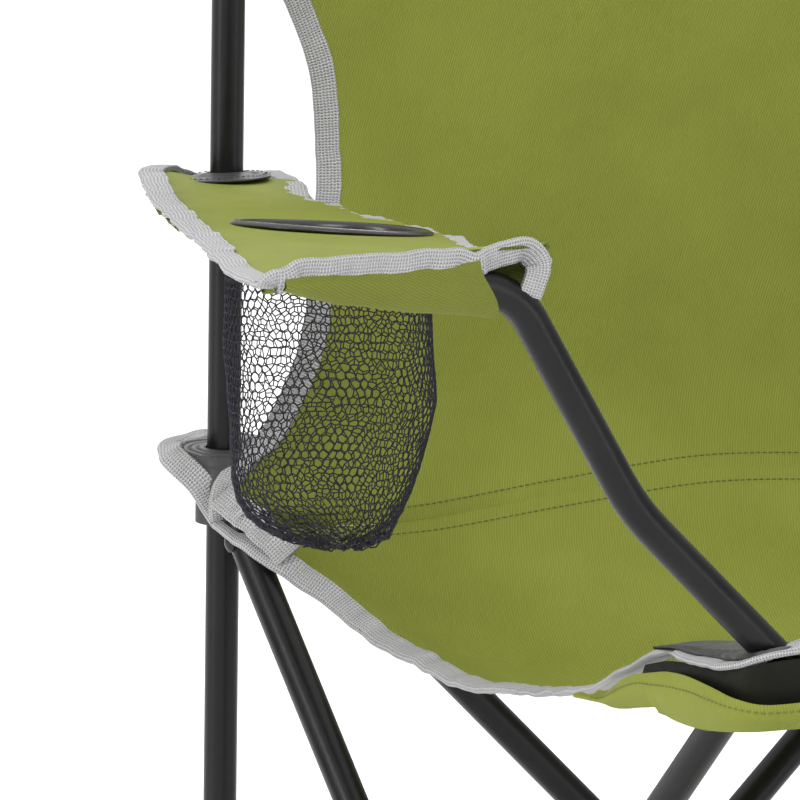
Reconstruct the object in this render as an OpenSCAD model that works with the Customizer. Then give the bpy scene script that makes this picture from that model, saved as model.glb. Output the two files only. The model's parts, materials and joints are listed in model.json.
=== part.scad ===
/* [Node] */
// Which sub-part to draw

/* [Frame] */
// Distance between the rear post axes, and between front and rear corners
span = 476; // [440:2:560]
// Outside diameter of every steel tube
tube_d = 15; // [13:0.5:19]
// Tube wall thickness
tube_wall = 1.2; // [0.8:0.1:2]
// Height of the upper cross-tube pivots above the floor
hub_z = 425; // [380:1:470]
// Height of the lower cross-tube pivots above the floor
foot_z = 30; // [25:1:40]
// Distance from a corner axis in to its pivots
inset_p = 36; // [30:1:44]
// Sideways offset of each crossing tube from the corner axis
plane_off = 8; // [7.7:0.1:10]
// Top of the back posts
post_top = 812; // [740:1:900]
// Length of tube beyond an end pivot
tube_tail = 10; // [8:1:14]

/* [Arm tubes] */
// Distance outboard of the middle where the tube first bends
arm_bend_1 = 304; // [296:1:310]
// Slope of the tube above the first bend, from horizontal
arm_slope_2 = 59; // [54:1:64]
// Height of the tube's second bend, where it enters the armrest's front hem
arm_z = 623; // [600:1:650]
// Distance outboard of the middle where the tube ends
arm_end = 448; // [440:1:478]
// Slope of the end of the arm tube, rising outwards
arm_slope_3 = 7; // [0:0.5:9]
// Centre-line radius of the first bend
arm_r1 = 110; // [80:5:140]
// Centre-line radius of the second bend
arm_r2 = 34; // [30:1:40]

/* [Hubs] */
// Outside diameter of the plastic sleeves and sockets
hub_d = 25; // [23:0.5:30]
// Height of the bottom of the sliding sleeves
collar_z = 427; // [416:1:430]
// Length of the sliding sleeves
collar_h = 25; // [20:1:40]
// Thickness of the ears that carry the pivots
ear_t = 4.4; // [3.5:0.1:5]
// Radius of the ear around its pivot
ear_r = 9; // [8:0.5:11]
// Depth of the front hubs' plates below their pivots
front_drop = 0; // [0:0.5:9]
// Diameter of the foot's floor flange
foot_d = 42; // [36:1:50]

/* [Rivets] */
// Diameter of the rivet pins
pin_d = 5; // [4:0.5:6]
// Diameter of the rivet heads
head_d = 9; // [7:0.5:11]
// Height of the domed rivet heads
head_h = 2.2; // [1.5:0.1:3]
// Radial clearance of the pins in their holes
pin_gap = 0.06; // [0.02:0.01:0.1]

/* [Fabric] */
// Thickness of the seat and back cloth
cloth_t = 1.6; // [1:0.1:3]
// Width of the edge binding
bind_w = 10; // [8:0.5:14]
// Thickness of the edge binding
bind_t = 3; // [2:0.1:4]
// Height of the seat's corner loops
seat_z = 457; // [430:1:480]
// Height of the armrest at the back post
rest_z = 583; // [560:1:610]
// Slope of the armrest, rising towards the front
rest_tilt = 5.9; // [0:0.1:10]
// Outside diameter of the cup ring
ring_d = 86; // [80:1:90]
// Inside diameter of the cup ring
ring_hole = 78; // [70:1:82]
// Depth of the net cup pocket
net_depth = 138; // [100:1:160]

/* [Hidden] */
$fn = 48;
half = span / 2;
piv = half - inset_p;
rise = hub_z - foot_z;
mid_z = (hub_z + foot_z) / 2;
lean = atan2(2 * piv, rise);
out_p = half + plane_off;
in_p = half - plane_off;
ear_in = half + plane_off - tube_d / 2 - 0.3 - ear_t / 2;
ear_out = half - plane_off + tube_d / 2 + 0.3 + ear_t / 2;
hole_d = pin_d + 2 * pin_gap;
dome_r = 6.5;
slope_1 = 90 - lean;
ext_y = 264.1;
bend_1_z = hub_z + (arm_bend_1 - piv) * tan(slope_1);
bend_2 = arm_bend_1 + (arm_z - bend_1_z) / tan(arm_slope_2);
cup_u = 326;
cup_y = -12;
cup_z = rest_z + (half - cup_y) * sin(rest_tilt);
net_y = half - (half - cup_y) * cos(rest_tilt);
hem_d = 21;
hem_in = 386;
hem_out = arm_end + 6;
bore_in = hem_in - 30;
bore_d = tube_d + 0.6;
back_near = in_p - tube_d / 2 - 0.1;
back_far = out_p + tube_d / 2 + 0.1;

function unit(v) = v / norm(v);
function turn(v) = [-v[1], v[0]];
function side_n(p, i, n) = unit(turn(unit(p[(i + 1) % n] - p[i]) + unit(p[i] - p[(i + n - 1) % n])));
function inset(p, d) = [for (i = [0 : len(p) - 1]) p[i] + d * side_n(p, i, len(p))];
function flip(p) = [for (q = p) [-q[0], q[1]]];

// A hollow tube between two points
module hollow(p, q, d, w) {
    v = q - p;
    translate(p)
        rotate([0, acos(v[2] / norm(v)), atan2(v[1], v[0])])
            difference() {
                cylinder(d = d, h = norm(v));
                translate([0, 0, -1]) cylinder(d = d - 2 * w, h = norm(v) + 2);
            }
}

// A solid rod between two points
module rod(p, q, d) {
    v = q - p;
    translate(p)
        rotate([0, acos(v[2] / norm(v)), atan2(v[1], v[0])])
            cylinder(d = d, h = norm(v));
}

module pin_hole_x(x, y, z) {
    translate([x - 30, y, z]) rotate([0, 90, 0]) cylinder(d = hole_d, h = 60);
}

module pin_hole_y(x, y, z) {
    translate([x, y + 30, z]) rotate([90, 0, 0]) cylinder(d = hole_d, h = 60);
}

module head() {
    intersection() {
        cylinder(d = head_d, h = head_h);
        translate([0, 0, head_h - dome_r]) sphere(r = dome_r);
    }
}

// A rivet along Z whose heads sit outside 0 and len
module rivet(len) {
    translate([0, 0, -0.5]) cylinder(d = pin_d, h = len + 1);
    translate([0, 0, len]) head();
    mirror([0, 0, 1]) head();
}

module rivet_x(x0, x1, y, z) {
    translate([x0, y, z]) rotate([0, 90, 0]) rivet(x1 - x0);
}

module rivet_y(x, y0, y1, z) {
    translate([x, y1, z]) rotate([90, 0, 0]) rivet(y1 - y0);
}

// A closing plug in one tube end, at point p along direction v
module plug(p, v) {
    rod(p - 6 * unit(v), p + unit(v), tube_d - 2 * tube_wall - 0.04);
    rod(p + 0.05 * unit(v), p + 1.8 * unit(v), tube_d);
}

// Straight side tube in the plane x, its foot at y = foot_sign * piv
module side_tube(x, foot_sign) {
    d = unit([0, -foot_sign * 2 * piv, rise]);
    a = [x, foot_sign * piv, foot_z];
    b = [x, -foot_sign * piv, hub_z];
    difference() {
        hollow(a - tube_tail * d, b + tube_tail * d, tube_d, tube_wall);
        pin_hole_x(x, a[1], a[2]);
        pin_hole_x(x, b[1], b[2]);
        pin_hole_x(x, 0, mid_z);
    }
}

module side_plugs(x, foot_sign) {
    d = unit([0, -foot_sign * 2 * piv, rise]);
    plug([x, foot_sign * piv, foot_z] - tube_tail * d, -d);
    plug([x, -foot_sign * piv, hub_z] + tube_tail * d, d);
}

// Straight rear tube in the plane y, its foot at x = foot_sign * piv
module rear_tube(y, foot_sign) {
    d = unit([-foot_sign * 2 * piv, 0, rise]);
    a = [foot_sign * piv, y, foot_z];
    b = [-foot_sign * piv, y, hub_z];
    difference() {
        hollow(a - tube_tail * d, b + tube_tail * d, tube_d, tube_wall);
        pin_hole_y(a[0], y, a[2]);
        pin_hole_y(b[0], y, b[2]);
        pin_hole_y(0, y, mid_z);
    }
}

module rear_plugs(y, foot_sign) {
    d = unit([-foot_sign * 2 * piv, 0, rise]);
    plug([foot_sign * piv, y, foot_z] - tube_tail * d, -d);
    plug([-foot_sign * piv, y, hub_z] + tube_tail * d, d);
}

// One length of bent tube: a circular arc about (u, w) from angle a0 to a1
module arc(u, w, r, a0, a1, d) {
    translate([u, 0, w])
        rotate([90, 0, 0])
            rotate([0, 0, a0])
                rotate_extrude(angle = a1 - a0) translate([r, 0]) circle(d = d);
}

// A point on the line of the arm tube's end
function end_point(x) = [x, 0, arm_z + (x - bend_2) * tan(arm_slope_3)];

// Arm tube path in the plane y = 0, rising towards +X
module arm_path(d, extra) {
    t1 = arm_r1 * tan((arm_slope_2 - slope_1) / 2);
    t2 = arm_r2 * tan((arm_slope_2 - arm_slope_3) / 2);
    d1 = [cos(slope_1), 0, sin(slope_1)];
    d2 = [cos(arm_slope_2), 0, sin(arm_slope_2)];
    low = [-piv, 0, foot_z] - (tube_tail + extra) * d1;
    k1 = [arm_bend_1, 0, bend_1_z];
    k2 = [bend_2, 0, arm_z];
    s1 = k1 - t1 * d1;
    s2 = k2 - t2 * d2;
    rod(low, s1 + d1, d);
    arc(s1[0] - arm_r1 * sin(slope_1), s1[2] + arm_r1 * cos(slope_1), arm_r1,
        slope_1 - 90, arm_slope_2 - 90, d + 0.06);
    rod(k1 + (t1 - 1) * d2, s2 + d2, d);
    arc(s2[0] + arm_r2 * sin(arm_slope_2), s2[2] - arm_r2 * cos(arm_slope_2), arm_r2,
        90 + arm_slope_3, 90 + arm_slope_2, d + 0.06);
    rod(end_point(bend_2 + (t2 - 1) * cos(arm_slope_3)), end_point(arm_end + extra), d);
}

module arm_tube(s, y) {
    mirror([s < 0 ? 1 : 0, 0, 0])
        translate([0, y, 0])
            difference() {
                arm_path(tube_d, 0);
                arm_path(tube_d - 2 * tube_wall, 3);
                pin_hole_y(-piv, 0, foot_z);
                pin_hole_y(0, 0, mid_z);
                pin_hole_y(piv, 0, hub_z);
            }
}

module arm_plugs(s, y) {
    d = unit([2 * piv, 0, rise]);
    mirror([s < 0 ? 1 : 0, 0, 0])
        translate([0, y, 0]) {
            plug([-piv, 0, foot_z] - tube_tail * d, -d);
            plug(end_point(arm_end), [cos(arm_slope_3), 0, sin(arm_slope_3)]);
        }
}

// Ear for a side tube: plate square to X at xe, reaching from the corner to the pivot
module ear_side(xe, sy, z, drop = ear_r) {
    translate([xe - ear_t / 2, sy > 0 ? piv : -half - 6, z - drop]) cube([ear_t, inset_p + 6, ear_r + drop]);
    translate([xe - ear_t / 2, sy * piv, z]) rotate([0, 90, 0]) cylinder(r = ear_r, h = ear_t);
}

// Ear for a front or rear tube: plate square to Y at ye, reaching from the corner to the pivot
module ear_cross(sx, ye, z, drop = ear_r) {
    translate([sx > 0 ? piv : -half - 6, ye - ear_t / 2, z - drop]) cube([inset_p + 6, ear_t, ear_r + drop]);
    translate([sx * piv, ye + ear_t / 2, z]) rotate([90, 0, 0]) cylinder(r = ear_r, h = ear_t);
}

// Rear foot: floor flange, post socket and two ears
module rear_foot(sx, ye) {
    difference() {
        union() {
            translate([sx * half, half, 0]) cylinder(d = foot_d, h = 6);
            translate([sx * half, half, 0]) cylinder(d = hub_d, h = 62);
            ear_side(sx * ear_out, 1, foot_z);
            ear_cross(sx, ye, foot_z);
        }
        translate([sx * half, half, 10]) cylinder(d = tube_d + 0.04, h = 80);
        pin_hole_x(sx * ear_out, piv, foot_z);
        pin_hole_y(sx * piv, ye, foot_z);
    }
}

// Front foot: floor flange, short boss and two ears
module front_foot(sx, xe, ye) {
    difference() {
        union() {
            translate([sx * half, -half, 0]) cylinder(d = foot_d, h = 6);
            translate([sx * half, -half, 0]) cylinder(d = hub_d, h = 42);
            ear_side(sx * xe, -1, foot_z);
            ear_cross(sx, ye, foot_z);
        }
        pin_hole_x(sx * xe, -piv, foot_z);
        pin_hole_y(sx * piv, ye, foot_z);
    }
}

// Sleeve that rides up a back post, with an ear for each crossing tube
module slider_hub(sx, ye) {
    difference() {
        union() {
            translate([sx * half, half, collar_z]) cylinder(d = hub_d, h = collar_h);
            ear_side(sx * ear_in, 1, hub_z);
            ear_cross(sx, ye, hub_z);
        }
        translate([sx * half, half, collar_z - 12]) cylinder(d = tube_d + 0.16, h = collar_h + 24);
        pin_hole_x(sx * ear_in, piv, hub_z);
        pin_hole_y(sx * piv, ye, hub_z);
    }
}

// Corner block at the front of the seat, clear of the arm tube's plane
module front_hub(sx, ye, y0, y1) {
    difference() {
        union() {
            translate([sx * (half - 2) - 10, y0, hub_z - front_drop]) cube([20, y1 - y0, ear_r + front_drop]);
            ear_side(sx * ear_out, -1, hub_z, front_drop);
            ear_cross(sx, ye, hub_z, front_drop);
        }
        pin_hole_x(sx * ear_out, -piv, hub_z);
        pin_hole_y(sx * piv, ye, hub_z);
    }
}

// Side view of the seat cloth, front edge to back seam
seat_line = [
    [-246, 452], [-211, 448], [-165, 440], [-117, 425], [-81, 411], [-25, 397], [0, 393],
    [28, 389], [75, 384], [108, 387], [147, 395], [180, 405], [206, 418], [219, 428]
];
// Plan of the seat's right edge, front to back
seat_edge = [
    [-209, -246], [-212, -211], [-230, -165], [-233, -117], [-229, -81], [-222, -25], [-218, 0],
    [-217, 28], [-216, 75], [-218, 108], [-222, 147], [-226, 180], [-229, 206], [-229, 219]
];
// Front view of the back panel's right edge, bottom to top
back_edge = [
    [-165, 431], [-184, 447], [-208, 458], [-210, 474], [-198, 504], [-190, 540], [-188, 585],
    [-192, 627], [-200, 650], [-212, 672], [-226, 694], [-226, 810]
];
// Side view of the back panel, bottom to top
back_line = [[224, 430], [234, 447], [240, 475], [245, 560], [247, 640], [245, 720], [238, 812]];
// Plan of the right armrest about its rear grommet
rest_plan = [
    [-216, 260], [-258, 264], [-278, 258], [-288, 240], [-322, 156], [-386, 6], [-448, -135],
    [-484, -222], [-490, -242], [-482, -252], [-352, -252], [-342, -240], [-328, -180],
    [-288, -80], [-266, -8], [-250, 80], [-230, 170], [-210, 226], [-206, 246]
];

function lift(p, t) = [for (q = p) [q[0], q[1] + t]];
function rev(p) = [for (i = [len(p) - 1 : -1 : 0]) p[i]];
function part_of(p, a, b) = [for (i = [a : b]) p[i]];
function shift_x(p, t) = [for (q = p) [q[0] + t, q[1]]];

// Sheet following a side view, t thick, w wide about the middle
module sheet_yz(line, t) {
    translate([-400, 0, 0])
        rotate([90, 0, 90])
            linear_extrude(800) polygon(concat(lift(line, -t / 2), rev(lift(line, t / 2))));
}

module sheet_back(line, t) {
    translate([-400, 0, 0])
        rotate([90, 0, 90])
            linear_extrude(800) polygon(concat(shift_x(line, -t / 2), rev(shift_x(line, t / 2))));
}

module seat_panel(a, b, gap_a, gap_b) {
    line = part_of(seat_line, a, b);
    edge = shift_x(part_of(seat_edge, a, b), bind_w + 0.3);
    intersection() {
        sheet_yz(line, cloth_t);
        translate([0, 0, 300])
            linear_extrude(300) polygon(concat(edge, rev(flip(edge))));
        translate([-300, seat_edge[a][1] + gap_a, 300])
            cube([600, seat_edge[b][1] - seat_edge[a][1] - gap_a - gap_b, 300]);
    }
}

module seat_strip(a, b, gap_a, gap_b) {
    line = part_of(seat_line, a, b);
    edge = part_of(seat_edge, a, b);
    for (m = [0, 1])
        mirror([m, 0, 0])
            intersection() {
                sheet_yz(line, bind_t);
                translate([0, 0, 300])
                    linear_extrude(300) polygon(concat(edge, rev(shift_x(edge, bind_w))));
                translate([-300, seat_edge[a][1] + gap_a, 300])
                    cube([600, seat_edge[b][1] - seat_edge[a][1] - gap_a - gap_b, 300]);
            }
}

module back_panel() {
    edge = shift_x(back_edge, bind_w + 0.3);
    intersection() {
        sheet_back(back_line, cloth_t);
        translate([0, 400, 0])
            rotate([90, 0, 0])
                linear_extrude(300) polygon(concat(edge, rev(flip(edge))));
    }
}

module back_strips() {
    edge = part_of(back_edge, 2, 10);
    for (m = [0, 1])
        mirror([m, 0, 0])
            intersection() {
                sheet_back(back_line, bind_t);
                translate([0, 400, 0])
                    rotate([90, 0, 0])
                        linear_extrude(300) polygon(concat(edge, rev(shift_x(edge, bind_w))));
            }
}

// Puts a flat drawing of the right armrest at its place, mirrored for the left
module on_rest(s) {
    mirror([s > 0 ? 1 : 0, 0, 0])
        translate([0, half, rest_z])
            rotate([-rest_tilt, 0, 0])
                translate([0, -half, 0]) children();
}

// A rod along the end of one arm tube
module end_rod(s, y0, x0, x1, d) {
    mirror([s < 0 ? 1 : 0, 0, 0])
        translate([0, y0, 0]) rod(end_point(x0), end_point(x1), d);
}

// Cloth of one armrest with the hem that takes the end of the arm tube
module armrest(s, y0) {
    difference() {
        union() {
            on_rest(s)
                difference() {
                    linear_extrude(cloth_t) polygon(inset(rest_plan, bind_w + 0.3));
                    if (s < 0) translate([-cup_u, cup_y, -1]) cylinder(d = ring_d + 0.6, h = 10);
                    translate([-243, 232, -1]) cylinder(d = 38.6, h = 10);
                }
            end_rod(s, y0, hem_in, hem_out, hem_d);
        }
        end_rod(s, y0, bore_in, hem_out - 3, bore_d);
    }
}

module armrest_binding(s, y0) {
    difference() {
        on_rest(s)
            translate([0, 0, (cloth_t - bind_t) / 2])
                difference() {
                    linear_extrude(bind_t) polygon(rest_plan);
                    translate([0, 0, -1]) linear_extrude(bind_t + 2) polygon(inset(rest_plan, bind_w));
                }
        end_rod(s, y0, hem_in - 0.4, hem_out + 0.4, hem_d + 0.6);
        end_rod(s, y0, bore_in, hem_in, bore_d);
    }
}

module armrest_patch(s) {
    difference() {
        on_rest(s) translate([-243, 232, -0.2]) cylinder(d = 38, h = 2);
        translate([s * half, half, 500]) cylinder(d = tube_d + 1.6, h = 200);
    }
}

// Cloth loop round a back post, with a tab running down to the seat corner
module seat_loop_rear(s) {
    difference() {
        union() {
            translate([s * half, half, seat_z - 2]) cylinder(d = 40, h = 2);
            translate([s * half, half, 0])
                rotate([90, 0, s < 0 ? -45 : -135])
                    translate([0, 0, -9])
                        linear_extrude(18)
                            polygon([[16, 457], [22, 457], [44, 433], [44, 430], [20, 455], [16, 455]]);
        }
        translate([s * half, half, 400]) cylinder(d = tube_d + 1.6, h = 100);
    }
}

// Patch on a front seat corner where the arm tube comes through
module seat_loop_front(s, y0) {
    difference() {
        translate([s * 232, y0 + 8, seat_z]) cylinder(d = 50, h = 2);
        mirror([s < 0 ? 1 : 0, 0, 0])
            translate([0, y0, 0])
                rod([piv, 0, hub_z], [piv + 60, 0, hub_z + 60 * tan(slope_1)], tube_d + 1.6);
    }
}

// Cloth pocket hanging round a front hub under the seat corner
module hub_flap(s) {
    mirror([s > 0 ? 1 : 0, 0, 0]) {
        translate([-248.6, 0, 0])
            rotate([90, 0, 90])
                linear_extrude(cloth_t)
                    polygon([
                        [-84, 406], [-117, 421], [-165, 436], [-211, 444], [-ext_y, 446],
                        [-ext_y, 424], [-170, 421], [-110, 408]
                    ]);
        translate([-248.6, -ext_y, 424]) cube([58, cloth_t, 22]);
    }
}

// Closed cloth pocket over the top of a back post
module back_pocket(s) {
    difference() {
        translate([s * half, half, 700]) cylinder(d = 21.6, h = 124);
        translate([s * half, half, 699]) cylinder(d = tube_d + 0.8, h = post_top - 699 + 8);
    }
}

module back_post(s) {
    hollow([s * half, half, 10.1], [s * half, half, post_top], tube_d, tube_wall);
}

module side_rivets_outer(s, foot_sign) {
    x0 = s < 0 ? -out_p - tube_d / 2 - 0.1 : ear_in - ear_t / 2 - 0.1;
    x1 = s < 0 ? -ear_in + ear_t / 2 + 0.1 : out_p + tube_d / 2 + 0.1;
    rivet_x(x0, x1, foot_sign * piv, foot_z);
    rivet_x(x0, x1, -foot_sign * piv, hub_z);
}

module side_rivets_inner(s, foot_sign) {
    x0 = s < 0 ? -ear_out - ear_t / 2 - 0.1 : in_p - tube_d / 2 - 0.1;
    x1 = s < 0 ? -in_p + tube_d / 2 + 0.1 : ear_out + ear_t / 2 + 0.1;
    m0 = s < 0 ? -out_p - tube_d / 2 - 0.1 : in_p - tube_d / 2 - 0.1;
    rivet_x(x0, x1, foot_sign * piv, foot_z);
    rivet_x(x0, x1, -foot_sign * piv, hub_z);
    rivet_x(m0, m0 + 2 * plane_off + tube_d + 0.2, 0, mid_z);
}

module back_post_right() { color([0.09, 0.09, 0.1]) back_post(-1); }
module back_post_left() { color([0.09, 0.09, 0.1]) back_post(1); }
module post_caps_right() { color([0.05, 0.05, 0.05]) plug([-half, half, post_top], [0, 0, 1]); }
module post_caps_left() { color([0.05, 0.05, 0.05]) plug([half, half, post_top], [0, 0, 1]); }
module foot_rear_right() { color([0.07, 0.07, 0.07]) rear_foot(-1, ear_in); }
module foot_rear_left() { color([0.07, 0.07, 0.07]) rear_foot(1, ear_out); }
module foot_front_right() { color([0.07, 0.07, 0.07]) front_foot(-1, ear_in, -ear_out); }
module foot_front_left() { color([0.07, 0.07, 0.07]) front_foot(1, ear_in, -ear_in); }
module side_tube_outer_right() { color([0.09, 0.09, 0.1]) side_tube(-out_p, -1); }
module side_tube_outer_left() { color([0.09, 0.09, 0.1]) side_tube(out_p, -1); }
module side_tube_inner_right() { color([0.09, 0.09, 0.1]) side_tube(-in_p, 1); }
module side_tube_inner_left() { color([0.09, 0.09, 0.1]) side_tube(in_p, 1); }
module rear_tube_outer() { color([0.09, 0.09, 0.1]) rear_tube(out_p, -1); }
module rear_tube_inner() { color([0.09, 0.09, 0.1]) rear_tube(in_p, 1); }
module arm_tube_right() { color([0.09, 0.09, 0.1]) arm_tube(-1, -out_p); }
module arm_tube_left() { color([0.09, 0.09, 0.1]) arm_tube(1, -in_p); }
module plugs_side_outer_right() { color([0.05, 0.05, 0.05]) side_plugs(-out_p, -1); }
module plugs_side_outer_left() { color([0.05, 0.05, 0.05]) side_plugs(out_p, -1); }
module plugs_side_inner_right() { color([0.05, 0.05, 0.05]) side_plugs(-in_p, 1); }
module plugs_side_inner_left() { color([0.05, 0.05, 0.05]) side_plugs(in_p, 1); }
module plugs_rear_outer() { color([0.05, 0.05, 0.05]) rear_plugs(out_p, -1); }
module plugs_rear_inner() { color([0.05, 0.05, 0.05]) rear_plugs(in_p, 1); }
module plugs_arm_right() { color([0.05, 0.05, 0.05]) arm_plugs(-1, -out_p); }
module plugs_arm_left() { color([0.05, 0.05, 0.05]) arm_plugs(1, -in_p); }
module rivets_side_outer_right() { color([0.12, 0.12, 0.12]) side_rivets_outer(-1, -1); }
module rivets_side_outer_left() { color([0.12, 0.12, 0.12]) side_rivets_outer(1, -1); }
module rivets_side_inner_right() { color([0.12, 0.12, 0.12]) side_rivets_inner(-1, 1); }
module rivets_side_inner_left() { color([0.12, 0.12, 0.12]) side_rivets_inner(1, 1); }

module rivets_rear_outer() {
    color([0.12, 0.12, 0.12]) {
        rivet_y(-piv, ear_in - ear_t / 2 - 0.1, back_far, foot_z);
        rivet_y(piv, ear_in - ear_t / 2 - 0.1, back_far, hub_z);
        rivet_y(0, back_near, back_far, mid_z);
    }
}

module rivets_rear_inner() {
    color([0.12, 0.12, 0.12]) {
        rivet_y(piv, back_near, ear_out + ear_t / 2 + 0.1, foot_z);
        rivet_y(-piv, back_near, ear_out + ear_t / 2 + 0.1, hub_z);
    }
}

module rivets_arm_right() {
    color([0.12, 0.12, 0.12]) {
        rivet_y(piv, -back_far, -ear_in + ear_t / 2 + 0.1, foot_z);
        rivet_y(-piv, -back_far, -ear_in + ear_t / 2 + 0.1, hub_z);
        rivet_y(0, -back_far, -back_near, mid_z);
    }
}

module rivets_arm_left() {
    color([0.12, 0.12, 0.12]) {
        rivet_y(-piv, -ear_out - ear_t / 2 - 0.1, -back_near, foot_z);
        rivet_y(piv, -ear_out - ear_t / 2 - 0.1, -back_near, hub_z);
    }
}

module slider_hub_right() { color([0.07, 0.07, 0.07]) slider_hub(-1, ear_out); }
module slider_hub_left() { color([0.07, 0.07, 0.07]) slider_hub(1, ear_in); }
module front_hub_right() { color([0.07, 0.07, 0.07]) front_hub(-1, -ear_in, -ear_in - ear_t / 2, -222); }
module front_hub_left() { color([0.07, 0.07, 0.07]) front_hub(1, -ear_out, -254, -ear_out + ear_t / 2); }
module seat_rear() { color([0.46, 0.5, 0.2]) seat_panel(6, 13, 0.2, 0); }
module seat_front() { color([0.46, 0.5, 0.2]) seat_panel(0, 6, 0, 0.2); }
module seat_binding_rear() { color([0.78, 0.78, 0.78]) seat_strip(6, 13, 0.2, 0); }
module seat_binding_front() { color([0.78, 0.78, 0.78]) seat_strip(0, 6, 0, 0.2); }
module seat_loop_rear_right() { color([0.2, 0.2, 0.2]) seat_loop_rear(-1); }
module seat_loop_rear_left() { color([0.2, 0.2, 0.2]) seat_loop_rear(1); }
module seat_loop_front_right() { color([0.2, 0.2, 0.2]) seat_loop_front(-1, -out_p); }
module seat_loop_front_left() { color([0.2, 0.2, 0.2]) seat_loop_front(1, -in_p); }
module hub_flap_right() { color([0.46, 0.5, 0.2]) hub_flap(-1); }
module hub_flap_left() { color([0.46, 0.5, 0.2]) hub_flap(1); }
module backrest() { color([0.46, 0.5, 0.2]) back_panel(); }
module backrest_binding() { color([0.78, 0.78, 0.78]) back_strips(); }
module back_pocket_right() { color([0.46, 0.5, 0.2]) back_pocket(-1); }
module back_pocket_left() { color([0.46, 0.5, 0.2]) back_pocket(1); }
module armrest_right() { color([0.5, 0.54, 0.24]) armrest(-1, -out_p); }
module armrest_left() { color([0.5, 0.54, 0.24]) armrest(1, -in_p); }
module armrest_binding_right() { color([0.78, 0.78, 0.78]) armrest_binding(-1, -out_p); }
module armrest_binding_left() { color([0.78, 0.78, 0.78]) armrest_binding(1, -in_p); }
module armrest_patch_right() { color([0.2, 0.2, 0.2]) armrest_patch(-1); }
module armrest_patch_left() { color([0.2, 0.2, 0.2]) armrest_patch(1); }

module cup_ring() {
    color([0.04, 0.04, 0.04])
        on_rest(-1)
            translate([-cup_u, cup_y, -1])
                difference() {
                    cylinder(d = ring_d, h = 4);
                    translate([0, 0, -1]) cylinder(d = ring_hole, h = 6);
                }
}

module cup_pocket() {
    color([0.12, 0.13, 0.17])
        difference() {
            translate([-cup_u, net_y, cup_z - net_depth]) cylinder(d = 94, h = net_depth + 20);
            translate([-cup_u, net_y, cup_z - net_depth + 2]) cylinder(d = 91, h = net_depth + 30);
            on_rest(-1) translate([-600, -400, -1.5]) cube([600, 800, 60]);
        }
}

back_post_right();
back_post_left();
post_caps_right();
post_caps_left();
foot_rear_right();
foot_rear_left();
foot_front_right();
foot_front_left();
side_tube_outer_right();
side_tube_outer_left();
side_tube_inner_right();
side_tube_inner_left();
rear_tube_outer();
rear_tube_inner();
arm_tube_right();
arm_tube_left();
plugs_side_outer_right();
plugs_side_outer_left();
plugs_side_inner_right();
plugs_side_inner_left();
plugs_rear_outer();
plugs_rear_inner();
plugs_arm_right();
plugs_arm_left();
rivets_side_outer_right();
rivets_side_outer_left();
rivets_side_inner_right();
rivets_side_inner_left();
rivets_rear_outer();
rivets_rear_inner();
rivets_arm_right();
rivets_arm_left();
slider_hub_right();
slider_hub_left();
front_hub_right();
front_hub_left();
seat_rear();
seat_front();
seat_binding_rear();
seat_binding_front();
seat_loop_rear_right();
seat_loop_rear_left();
seat_loop_front_right();
seat_loop_front_left();
hub_flap_right();
hub_flap_left();
backrest();
backrest_binding();
back_pocket_right();
back_pocket_left();
armrest_right();
armrest_left();
armrest_binding_right();
armrest_binding_left();
armrest_patch_right();
armrest_patch_left();
cup_ring();
cup_pocket();
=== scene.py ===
import bpy
import json
import math
import numpy as np
from mathutils import Matrix, Vector

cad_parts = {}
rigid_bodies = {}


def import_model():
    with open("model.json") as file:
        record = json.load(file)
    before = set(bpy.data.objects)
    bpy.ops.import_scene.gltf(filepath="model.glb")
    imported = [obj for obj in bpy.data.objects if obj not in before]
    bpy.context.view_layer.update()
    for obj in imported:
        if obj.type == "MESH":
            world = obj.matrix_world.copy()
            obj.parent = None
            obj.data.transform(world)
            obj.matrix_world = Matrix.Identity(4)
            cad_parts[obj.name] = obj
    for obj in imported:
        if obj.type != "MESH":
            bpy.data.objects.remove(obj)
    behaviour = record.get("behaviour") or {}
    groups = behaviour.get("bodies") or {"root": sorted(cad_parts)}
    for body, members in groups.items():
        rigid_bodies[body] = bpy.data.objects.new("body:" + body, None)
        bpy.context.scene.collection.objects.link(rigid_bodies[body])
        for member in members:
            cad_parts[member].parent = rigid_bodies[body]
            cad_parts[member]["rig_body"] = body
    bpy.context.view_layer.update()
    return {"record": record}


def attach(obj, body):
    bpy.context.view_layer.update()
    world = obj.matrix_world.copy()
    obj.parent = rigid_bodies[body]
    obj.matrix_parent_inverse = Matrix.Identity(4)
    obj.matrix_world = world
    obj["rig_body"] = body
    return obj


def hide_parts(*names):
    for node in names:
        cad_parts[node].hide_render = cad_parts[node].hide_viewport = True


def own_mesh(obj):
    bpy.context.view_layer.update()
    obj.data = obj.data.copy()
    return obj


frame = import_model()
MM = 0.001
SEED = 7
RIB = 1.3    # pitch of the ribs in cloth and tape, mm


# ---------------------------------------------------------------- small maths

def unit(v):
    v = np.asarray(v, float)
    n = np.linalg.norm(v, axis=-1, keepdims=True)
    return v / np.where(n < 1e-12, 1, n)


def run(path):
    """Length along a path at each of its points."""
    return np.r_[0, np.cumsum(np.linalg.norm(np.diff(path, axis=0), axis=1))]


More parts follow.
